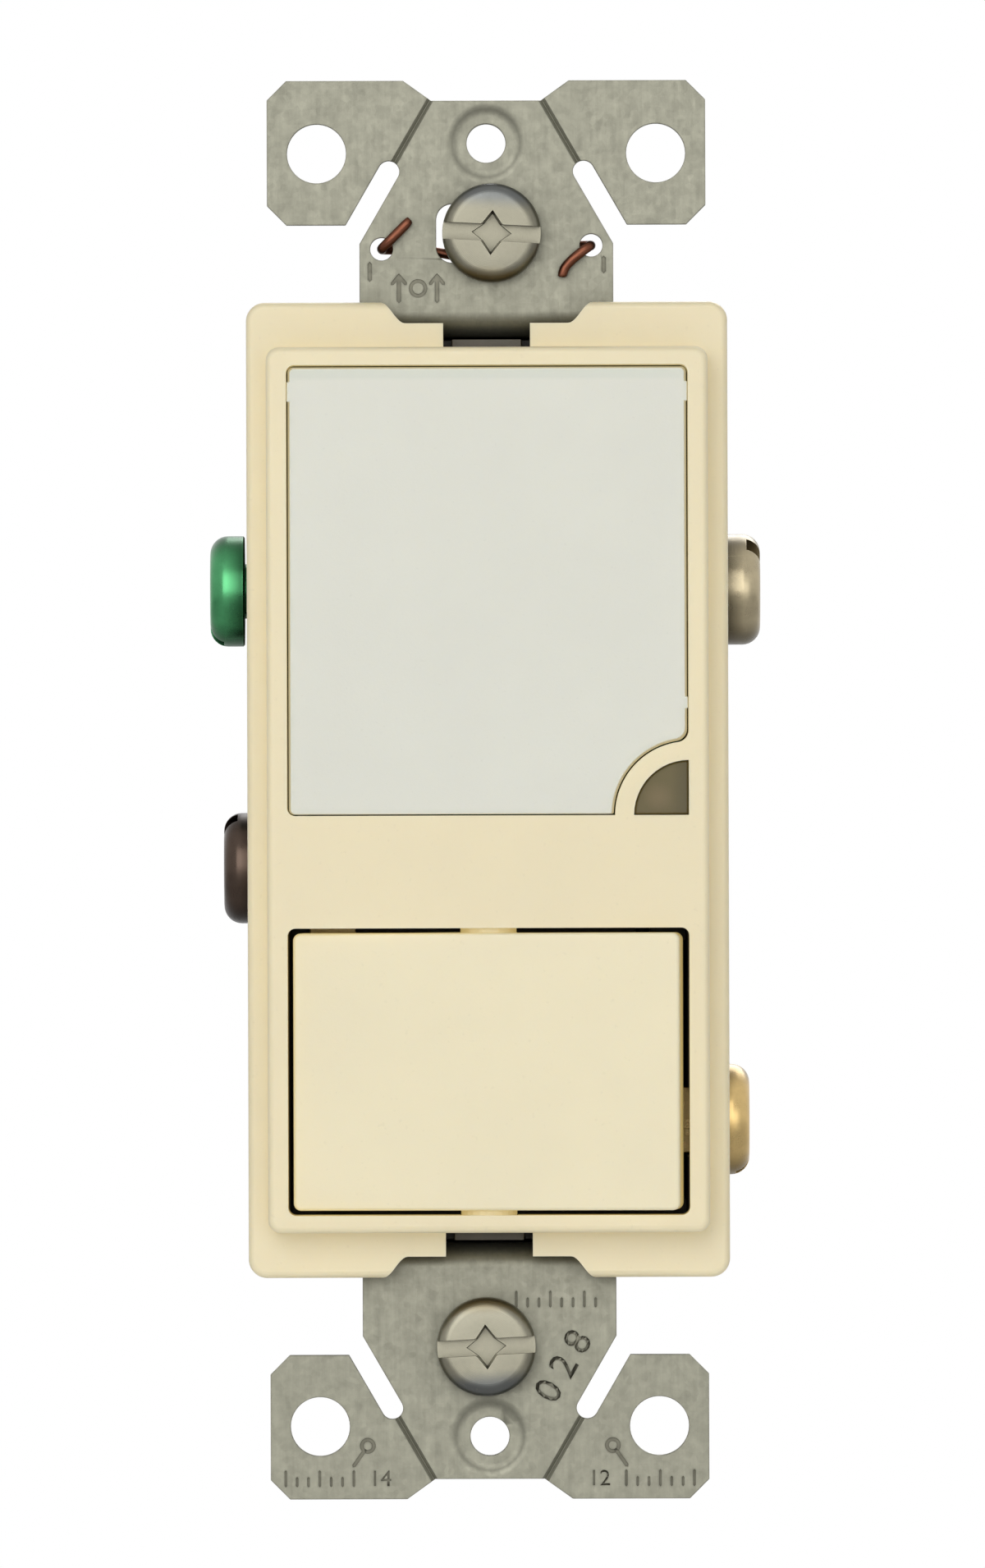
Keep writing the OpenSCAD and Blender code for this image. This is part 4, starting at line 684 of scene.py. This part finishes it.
class SWITCH_OT_strap(bpy.types.Operator):
    """Finish the wrap-round strap and stamp its plain marks and figures"""
    bl_idname = "switch.strap"
    bl_label = "Strap"

    def execute(self, context):
        draft = link("strap draft", NODES["mounting_strap"].data.copy())
        soften(draft, sizes().sheet_edge)
        draft.data = baked(draft)
        draft.modifiers.clear()
        paint(draft, zinc_sheet("galvanised sheet", hues().zinc))
        # the marks' walls take the darker stamped sheet, partly painted shade in the grooves
        mesh = cut(draft, self.marks(zinc_sheet("stamped sheet", hues().sheared_and_shaded)),
                   "TRANSFER")
        mesh.set_sharp_from_angle(angle=math.radians(28))
        strap = link("stamped_strap", mesh)
        even = strap.modifiers.new("even flats", "WEIGHTED_NORMAL")
        even.weight = 100
        even.keep_sharp = True
        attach(strap, "device")
        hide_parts("mounting_strap")
        return {"FINISHED"}

    def marks(self, stamped):
        """The cutters of every mark, drawn in millimetres on the strap's face."""
        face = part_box("mounting_strap")[0].y
        cutters = []

        def press(mesh, x, z, turn=0.0):
            """Stands a cutter drawn flat in X and Y on the strap's face."""
            mesh.materials.append(stamped)
            spot = x * MM, face + sizes().stamp_depth, z * MM
            piece = link("stamp", mesh)
            piece.matrix_world = (Matrix.Translation(spot) @ turned(90, "X")
                                  @ turned(turn, "Z"))
            cutters.append(piece)

        def stroke(x_from, z_from, x_to, z_to, width=0.34):
            """A straight stroke with pointed ends, between two points."""
            along = Vector((x_to - x_from, z_to - z_from))
            wide = width / 2
            end = along.length / 2
            half = end + wide
            outline = [(x * MM, y * MM) for x, y in (
                (-half, 0), (-end, -wide), (end, -wide), (half, 0), (end, wide), (-end, wide))]
            press(prism("stroke", outline, 0, 1 * MM), (x_from + x_to) / 2,
                  (z_from + z_to) / 2, math.degrees(math.atan2(along.y, along.x)))

        def ring(x, z, radius, width=0.3, sides=28):
            """A round ring."""
            form = bmesh.new()
            inner, outer = radius - width / 2, radius + width / 2
            loops = [[form.verts.new((*around(reach * MM, side / sides), height * MM))
                      for side in range(sides)]
                     for reach, height in ((inner, 0), (outer, 0), (outer, 1), (inner, 1))]
            press(skin_of("ring", form, loops, capped=False), x, z)

        def figures(text, x, z, height, turn=0.0):
            """Plain figures, centred on a point."""
            curve = bpy.data.curves.new("figures", "FONT")
            curve.body = text
            curve.size = height * MM * 1.4
            curve.align_x = curve.align_y = "CENTER"
            curve.extrude = 0.5 * MM
            curve.resolution_u = 3
            drawn = link("figures", curve)
            form = bmesh.new()
            form.from_mesh(baked(drawn))
            bpy.data.objects.remove(drawn)
            bmesh.ops.remove_doubles(form, verts=form.verts, dist=0.0001 * MM)
            bmesh.ops.translate(form, verts=form.verts, vec=(0, 0, 0.5 * MM))
            press(mesh_of("figures", form), x, z, turn)

        def ruler(first, step, count, foot, long, short):
            """Ticks in a row, where every third is long."""
            for tick in range(count):
                x = first + step * tick
                stroke(x, foot, x, short if tick % 3 else long, 0.2)

        # arrows on both sides of a ring, above the cover
        for x in (-6.55, -3.7):
            stroke(x, 36.6, x, 38.5)
            for side in (-0.5, 0.5):
                stroke(x + side, 37.9, x, 38.5, 0.28)
        ring(-5.12, 37.55, 0.55)
        stroke(-8.73, 38.2, -8.73, 39.4)
        stroke(8.79, 38.8, 8.79, 39.8)
        # figures that read up beside the lower slot, and the two gauge points
        for text, x, z in (("0", 4.47, -45.05), ("2", 5.6, -43.2), ("8", 6.65, -41.37)):
            figures(text, x, z, 2.1, 60)
        for x, out in ((9.2, 1), (-9.15, -1)):
            ring(x, -49.1, 0.45)
            stroke(x + 0.35 * out, -49.6, x + 1.05 * out, -50.6, 0.3)
        # a scale with a figure at each side of the lower edge, and one under the cover
        for text, side in (("14", -1), ("12", 1)):
            figures(text, 8.2 * side, -51.6, 1.2)
            ruler(10.2 * side, 0.85 * side, 7, -52.1, -51.0, -51.5)
        ruler(2.0, 0.85, 8, -38.7, -37.6, -38.1)
        return cutters


class SWITCH_OT_clip(bpy.types.Operator):
    """Finish the bronze clip that earths the strap"""
    bl_idname = "switch.clip"
    bl_label = "Ground clip"

    def execute(self, context):
        wire = metal("bronze wire", hues().bronze, 0.36)
        round_wire(paint(NODES["ground_clip"], wire))
        return {"FINISHED"}


class SWITCH_OT_box_screws(bpy.types.Operator):
    """Make the two box screws and finish the washers that hold them"""
    bl_idname = "switch.box_screws"
    bl_label = "Box screws"

    def execute(self, context):
        low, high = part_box("mounting_screw_top")
        head, height = 7.4 * MM, 2.2 * MM
        shank, neck, neck_length = 3.5 * MM, 3.0 * MM, 3.5 * MM
        mesh = screw_mesh("box screw", head, height, sizes().box_rim, shank,
                          high.y - low.y - height, neck, neck_length)
        # the top head's plating is a darker copy (0.85), as painted shade
        for end, turn, near, tone in (("top", 3, -1, 0.85), ("bottom", -3, 1, 1.0)):
            node = "mounting_screw_" + end
            seat = middle(node)
            seat.y = low.y + height
            plating = metal(f"{end} box screw plating", shade(hues().passivated, tone),
                            0.36, centre=(0, 0, 0), marks=self.reflection(near))
            place_screw(node, mesh, plating, "box_screw_" + end,
                        Matrix.Translation(seat) @ turned(turn, "Y") @ turned(90, "X"))
        fibre = plastic("fibre sheet", hues().fibre, 0.7, 0.15 * MM, 0.02 * MM,
                        marks=self.layers)
        finish("screw_washer_top screw_washer_bottom", fibre, sizes().sheet_edge)
        return {"FINISHED"}

    def reflection(self, near):
        """Painted reflections: the cover's brown on the near side of the head, grey on the far
        side.
        """
        def marks(tree, body):
            up = tree.times(tree.axis("Y"), near)
            band = tree.scale(up, 2.3 * MM, 3.4 * MM, smooth=True)
            body = tree.mix(band, body, hues().near_side_reflection, 0.75)
            far_reflection_mask = tree.scale(up, -1.6 * MM, -2.9 * MM, smooth=True)
            return tree.mix(far_reflection_mask, body, hues().far_side_reflection, 0.85)
        return marks

    def layers(self, tree, body):
        """Pressed layers that show on the edge of the fibre."""
        lines = tree.noise(tree.place(), 0.8 * MM, 4, 0.7, stretch=(1, 12, 1))
        return tree.mix(lines, shade(hues().fibre, 0.75), shade(hues().fibre, 1.2))


class SWITCH_OT_terminal_screws(bpy.types.Operator):
    """Make the ground, neutral, line and load screws"""
    bl_idname = "switch.terminal_screws"
    bl_label = "Terminal screws"

    def execute(self, context):
        low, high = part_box("neutral_screw")
        head, height, shank = 8.35 * MM, 2.6 * MM, 4.16 * MM
        mesh = screw_mesh("terminal screw", head, height, sizes().terminal_rim, shank,
                          high.x - low.x - height, shank, 0)
        for node, colour, slot, side, turn in (
                ("ground_screw", hues().green, "green_steel", -1, 12),
                ("load_screw", hues().black_oxide, "black_steel", -1, -20),
                ("neutral_screw", hues().nickel, "nickel_steel", 1, 34),
                ("line_screw", hues().brass, "brass_plate", 1, -8)):
            low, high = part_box(node)
            seat = middle(node)
            seat.x = (high.x if side > 0 else low.x) - side * height
            plating = metal(node + " plating", colour, 0.3, centre=(0, 0, 0),
                            marks=self.painted_shade_and_reflection(side, turn, colour))
            place_screw(node, mesh, plating, node,
                        Matrix.Translation(seat) @ turned(90 * side, "Y") @ turned(turn, "Z"))
        return {"FINISHED"}

    def painted_shade_and_reflection(self, side, turn, colour):
        """Painted shade under the head, and a painted dark reflection towards its top and
        bottom.
        """
        upward = (-side * math.cos(math.radians(turn)), side * math.sin(math.radians(turn)), 0)

        def marks(tree, body):
            under = tree.scale(tree.axis("Z"), 1.3 * MM, 0.3 * MM)
            body = tree.mix(under, body, shade(colour, 0.25), 0.8)
            off = tree.math("ABSOLUTE", tree.vector("DOT_PRODUCT", tree.place(), upward))
            ends = tree.scale(off, 2.2 * MM, 3.9 * MM, smooth=True)
            return tree.mix(ends, body, shade(colour, 0.25), 0.85)
        return marks


class SWITCH_OT_housing(bpy.types.Operator):
    """Finish the rear housing and the screws that hold it"""
    bl_idname = "switch.housing"
    bl_label = "Housing"

    def execute(self, context):
        # the charcoal moulding gets strong painted shade in its corners
        finish("rear_housing", plastic(
            "charcoal moulding", hues().housing, 0.5, 0.3 * MM, 0.02 * MM, corner_shade_share=0.4,
            marks=self.flow))
        finish("assembly_screws", metal("assembly screw plating", hues().nickel, 0.32),
               sizes().turned_edge)
        return {"FINISHED"}

    def flow(self, tree, body):
        """Faint flow lines of the glass-filled moulding."""
        lines = tree.noise(tree.place(), 2.5 * MM, 5, 0.65, stretch=(1, 0.3, 0.3))
        return tree.mix(tree.scale(lines, 0.45, 0.75), body, shade(hues().housing, 1.3))


class SWITCH_OT_contacts(bpy.types.Operator):
    """Finish the terminals, the contact arm and the silver contacts"""
    bl_idname = "switch.contacts"
    bl_label = "Terminals and contacts"

    def execute(self, context):
        edge = sizes().sheet_edge
        brass = metal("rolled brass", hues().brass, 0.3, marks=self.rolling)
        tin = metal("tinned brass", hues().tin, 0.34, marks=self.rolling)
        finish("line_terminal load_terminal contact_arm", brass, edge)
        finish("neutral_terminal", tin, edge)
        for name in ("fixed", "moving"):
            node = name + "_contact"
            finish(node, metal(name + " contact silver", hues().silver, 0.25,
                               centre=middle(node), along=(0, 1, 0)), edge)
        return {"FINISHED"}

    def rolling(self, tree, body):
        """Drawn lines of the rolled strip."""
        lines = tree.noise(tree.place(), 0.16 * MM, 4, 0.6, stretch=(1, 0.03, 1))
        return tree.mix(tree.scale(lines, 0.4, 0.7, 0, 0.16), body, hues().drawn)


class SWITCH_OT_mechanism(bpy.types.Operator):
    """Finish the plunger and its spring"""
    bl_idname = "switch.mechanism"
    bl_label = "Plunger and spring"

    def execute(self, context):
        finish("plunger", plastic("acetal", hues().acetal, 0.3, 0.2 * MM,
                                  marks=self.rubbed))
        coil = link("coil_spring", NODES["plunger_spring"].data.copy())
        round_wire(paint(coil, metal("spring wire", hues().silver, 0.3)), 1)
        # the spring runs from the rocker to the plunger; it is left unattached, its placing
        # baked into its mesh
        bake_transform(coil)
        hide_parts("plunger_spring")
        return {"FINISHED"}

    def rubbed(self, tree, body):
        """Grey bands where the plunger slides."""
        lines = tree.noise(tree.place(), 0.4 * MM, 3, 0.6, stretch=(1, 0.1, 1))
        return tree.mix(tree.scale(lines, 0.5, 0.8, 0, 0.5), body,
                        shade(hues().acetal, 0.7))


class SWITCH_OT_lamp_board(bpy.types.Operator):
    """Finish the circuit board, its parts and the reflector"""
    bl_idname = "switch.lamp_board"
    bl_label = "Lamp board"

    def execute(self, context):
        edge = sizes().sheet_edge
        mask = plastic("solder mask", hues().mask, 0.3, 0.4 * MM, marks=self.tracks)
        finish("circuit_board", mask, edge)
        # painted light lightens the walls of the gaps around the reflector
        white = plastic("reflector white", hues().reflector, 0.35, corner_shade_share=0.0, glow=0.3,
                        painted_gap_light=(0.12, 0.11, 0.08), marks=self.shine)
        finish("reflector_box", white)
        epoxy = plastic("emitter epoxy", hues().epoxy, 0.12, marks=self.die)
        paint(NODES["light_emitters"], epoxy)
        cell = plastic("photocell ceramic", hues().cell, 0.3, marks=self.winding)
        finish("photocell", cell, edge)
        shroud = plastic("shroud moulding", hues().black, 0.5, 0.2 * MM, 0.01 * MM)
        finish("photocell_shroud", shroud, edge)
        lacquer = plastic("resistor lacquer", hues().lacquer, 0.3, marks=self.code)
        paint(NODES["drop_resistor"], lacquer)
        film = plastic("dipped film capacitor", hues().dip, 0.2, marks=self.printed)
        finish("film_capacitor", film, 0.8 * MM, 3)
        can = plastic("capacitor sleeve", hues().sleeve, 0.25, marks=self.sleeve)
        finish("filter_capacitor", can, 0.3 * MM)
        diode = plastic("diode moulding", hues().black, 0.35, marks=self.cathode)
        finish("rectifier_diodes", diode, edge)
        case = plastic("transistor moulding", hues().black, 0.45, marks=self.etching)
        finish("switching_transistor", case)
        return {"FINISHED"}

    def tracks(self, tree, body):
        """Tracks on a 2.54 mm grid that turn from cell to cell, with tinned pads."""
        grid = 2.54 * MM
        ways = tree.axis("X"), tree.axis("Z")
        cells = [tree.math("FLOOR", tree.math("DIVIDE", value, grid)) for value in ways]
        cell = tree.add("ShaderNodeCombineXYZ", {"X": cells[0], "Y": cells[1]}).outputs[0]
        toss = tree.add("ShaderNodeTexWhiteNoise", {"Vector": cell}).outputs["Value"]
        off = [tree.math("ABSOLUTE", tree.minus(tree.step(value, grid), 0.5)) for value in ways]
        pick = tree.math("GREATER_THAN", toss, 0.5)
        across, up = (tree.scale(value, 0.16, 0.12) for value in off)
        track = tree.math("ADD", tree.times(across, pick),
                          tree.times(up, tree.minus(1.0, pick)))
        body = tree.mix(track, body, shade(hues().mask, 1.55))
        pad = tree.times(tree.scale(tree.span(*off), 0.3, 0.26),
                         tree.math("GREATER_THAN", toss, 0.78))
        return tree.mix(pad, body, hues().tin)

    def shine(self, tree, body):
        """Slightly yellowed where the emitters stand."""
        back = tree.scale(tree.axis("Y"), 4 * MM, 8.4 * MM, 0, 0.25)
        return tree.mix(back, body, hues().yellowed)

    def die(self, tree, body):
        """The yellow phosphor round each die, seen through the epoxy."""
        low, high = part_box("light_emitters")
        case = 3.6 * MM
        pitch = (high.z - low.z - case) / 2
        share = tree.math("FRACT", tree.math("ADD", tree.math(
            "DIVIDE", tree.minus(tree.axis("Z"), low.z + case / 2), pitch), 0.5))
        reach = tree.span(tree.axis("X"), tree.times(tree.minus(share, 0.5), pitch))
        return tree.mix(tree.scale(reach, 1.3 * MM, 0.5 * MM, smooth=True), body,
                        hues().phosphor)

    def winding(self, tree, body):
        """The dark track that winds to and fro over the cell."""
        spot = middle("photocell")
        width, wave = 1.0 * MM, 0.9 * MM
        x, z = tree.minus(tree.axis("X"), spot.x), tree.minus(tree.axis("Z"), spot.z)
        sway = tree.math("SINE", tree.times(z, 2 * math.pi / wave))
        line = tree.math("ADD", tree.math("DIVIDE", x, width), sway)
        return tree.mix(tree.scale(tree.math("ABSOLUTE", line), 0.45, 0.3), body,
                        hues().track)

    def code(self, tree, body):
        """Brown, black, red and gold bands round the body."""
        low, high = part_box("drop_resistor")
        x = tree.axis("X")
        for share, colour in ((0.24, (96, 58, 34)), (0.39, (24, 24, 24)),
                              (0.54, (188, 52, 40)), (0.75, (196, 160, 80))):
            at = low.x + (high.x - low.x) * share
            body = tree.mix(tree.stripe(x, at, 0.65 * MM), body, srgb(*colour))
        return body

    def printed(self, tree, body):
        """Uneven dip, with a plain printed bar near one end."""
        dip = tree.scale(tree.noise(tree.place(), 2.2 * MM, 3), 0.35, 0.7)
        body = tree.mix(dip, shade(hues().dip, 0.85), shade(hues().dip, 1.12))
        bar = tree.bar(Z=(middle("film_capacitor").z, 1.2 * MM), X=(3.4 * MM, 4.2 * MM))
        return tree.mix(bar, body, hues().ink, 0.7)

    def sleeve(self, tree, body):
        """A pale polarity stripe on one side, and the bare can at the end."""
        low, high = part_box("filter_capacitor")
        y = tree.axis("Y")
        stripe = tree.scale(tree.axis("X"), low.x + 1.3 * MM, low.x + 1.1 * MM)
        body = tree.mix(stripe, body, hues().stripe)
        dash = tree.math("GREATER_THAN", tree.step(y, 2.2 * MM), 0.35)
        line = tree.stripe(tree.axis("Z"), (low.z + high.z) / 2, 0.5 * MM)
        body = tree.mix(tree.times(stripe, tree.times(dash, line)), body, hues().sleeve)
        can = tree.scale(y, high.y - 0.35 * MM, high.y - 0.2 * MM)
        return tree.mix(can, body, hues().aluminium)

    def cathode(self, tree, body):
        """A silver band at one end of each diode."""
        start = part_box("rectifier_diodes")[0].x
        share = tree.step(tree.minus(tree.axis("X"), start), 4.6 * MM)
        return tree.mix(tree.stripe(share, 0.12, 0.14, 0.01), body, hues().aluminium)

    def etching(self, tree, body):
        """A plain laser-marked bar on the flat face."""
        spot = middle("switching_transistor")
        bar = tree.bar(X=(spot.x, 2.6 * MM), Y=(spot.y + 0.4 * MM, 0.5 * MM))
        return tree.mix(bar, body, hues().etched, 0.6)


class SWITCH_OT_leads(bpy.types.Operator):
    """Finish the two insulated leads"""
    bl_idname = "switch.leads"
    bl_label = "Leads"

    def execute(self, context):
        for name, colour in (("neutral", hues().white_lead),
                             ("line", hues().black_lead)):
            def bare_end(tree, body, end=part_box(name + "_lead")[1].y):
                """Tinned strands where the lead is soldered in."""
                bare = tree.scale(tree.axis("Y"), end - 0.5 * MM, end - 0.4 * MM)
                return tree.mix(bare, body, hues().tin)

            cover = plastic(name + " lead insulation", colour, 0.35, 0.3 * MM,
                            marks=bare_end)
            round_wire(paint(NODES[name + "_lead"], cover))
        return {"FINISHED"}


class SWITCH_OT_stage(bpy.types.Operator):
    """Set the floor, the soft lights, the bright world and the camera"""
    bl_idname = "switch.stage"
    bl_label = "Stage"

    def execute(self, context):
        scene = context.scene
        scene.view_settings.view_transform = "Standard"
        scene.world = self.make_world()
        self.make_floor()
        self.make_lights()
        scene.camera = self.make_camera()
        return {"FINISHED"}

    def make_world(self):
        """White where the camera and the metals look, and softer as a light."""
        world = bpy.data.worlds.new("bright room")
        world.use_nodes = True
        tree = Tree(world.node_tree)
        path = tree.add("ShaderNodeLightPath").outputs
        seen = tree.math("MAXIMUM", path["Is Camera Ray"], tree.math(
            "MAXIMUM", path["Is Glossy Ray"], path["Is Transmission Ray"]))
        light = tree.add("ShaderNodeBackground", {
            "Color": (1, 1, 1, 1), "Strength": tree.scale(seen, 0, 1, 0.26, 1.0)})
        tree.add("ShaderNodeOutputWorld", {"Surface": light.outputs[0]})
        return world

    def make_floor(self):
        """A pale round floor, a little brighter to the camera than it is lit."""
        form = bmesh.new()
        bmesh.ops.create_circle(form, cap_ends=True, segments=96, radius=sizes().floor_reach)
        floor = link("floor", mesh_of("floor", form))
        floor.location.z = -sizes().floor_drop
        material, tree, shader = new_material("pale floor")
        seen = tree.add("ShaderNodeLightPath").outputs["Is Camera Ray"]
        tree.feed(shader, {
            "Base Color": (0.9, 0.9, 0.9, 1), "Roughness": 0.9, "Emission Strength": 1.0,
            "Emission Color": tree.mix(seen, (0, 0, 0), (0.4, 0.4, 0.4))})
        paint(floor, material)

    def make_lights(self):
        """Square soft lights that face the switch: place, width and power."""
        for name, spot, width, power in (("key", (-0.3, -1.3, 0.45), 1.1, 10.2),
                                         ("fill", (0.5, -1.1, -0.1), 0.9, 3.0),
                                         ("back", (0.4, 1.2, 1.0), 1.0, 12.0)):
            data = bpy.data.lights.new(name, "AREA")
            data.shape = "SQUARE"
            data.size = width
            data.energy = power
            lamp = link(name, data)
            lamp.location = spot
            lamp.rotation_mode = "QUATERNION"
            lamp.rotation_quaternion = (-Vector(spot)).to_track_quat("-Z", "Y")

    def make_camera(self):
        """Straight in front of the face, far enough back to show it nearly flat."""
        data = bpy.data.cameras.new("camera")
        back = sizes().camera_back
        data.sensor_width = 36
        data.lens = data.sensor_width * back / sizes().frame_height
        data.clip_start, data.clip_end = 0.05, 10
        camera = link("camera", data)
        stand = 0.34 * MM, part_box("front_cover")[0].y - back, 0.43 * MM
        camera.matrix_world = (Matrix.Translation(stand) @ turned(90, "X")
                               @ Matrix.Rotation(-sizes().camera_roll, 4, "Z"))
        return camera


PIECES = (SWITCH_OT_cover, SWITCH_OT_rocker, SWITCH_OT_lens, SWITCH_OT_strap, SWITCH_OT_clip,
          SWITCH_OT_box_screws, SWITCH_OT_terminal_screws, SWITCH_OT_housing,
          SWITCH_OT_contacts, SWITCH_OT_mechanism, SWITCH_OT_lamp_board, SWITCH_OT_leads,
          SWITCH_OT_stage)


class SWITCH_PT_panel(bpy.types.Panel):
    """Lists the steps that dress the switch"""
    bl_idname = "SWITCH_PT_panel"
    bl_label = "Wall switch"
    bl_space_type = "VIEW_3D"
    bl_region_type = "UI"
    bl_category = "Switch"

    def draw(self, context):
        for piece in PIECES:
            self.layout.operator(piece.bl_idname)


CLASSES = (SwitchColours, SwitchSizes, *PIECES, SWITCH_PT_panel)


def register():
    for item in CLASSES:
        bpy.utils.register_class(item)
    bpy.types.Scene.switch_colours = PointerProperty(type=SwitchColours)
    bpy.types.Scene.switch_sizes = PointerProperty(type=SwitchSizes)


def unregister():
    del bpy.types.Scene.switch_sizes
    del bpy.types.Scene.switch_colours
    for item in reversed(CLASSES):
        bpy.utils.unregister_class(item)


def main():
    register()
    for make in SHARED_EFFECTS:
        make()
    for piece in PIECES:
        group, step = piece.bl_idname.split(".")
        getattr(getattr(bpy.ops, group), step)()


if __name__ == "__main__":
    main()
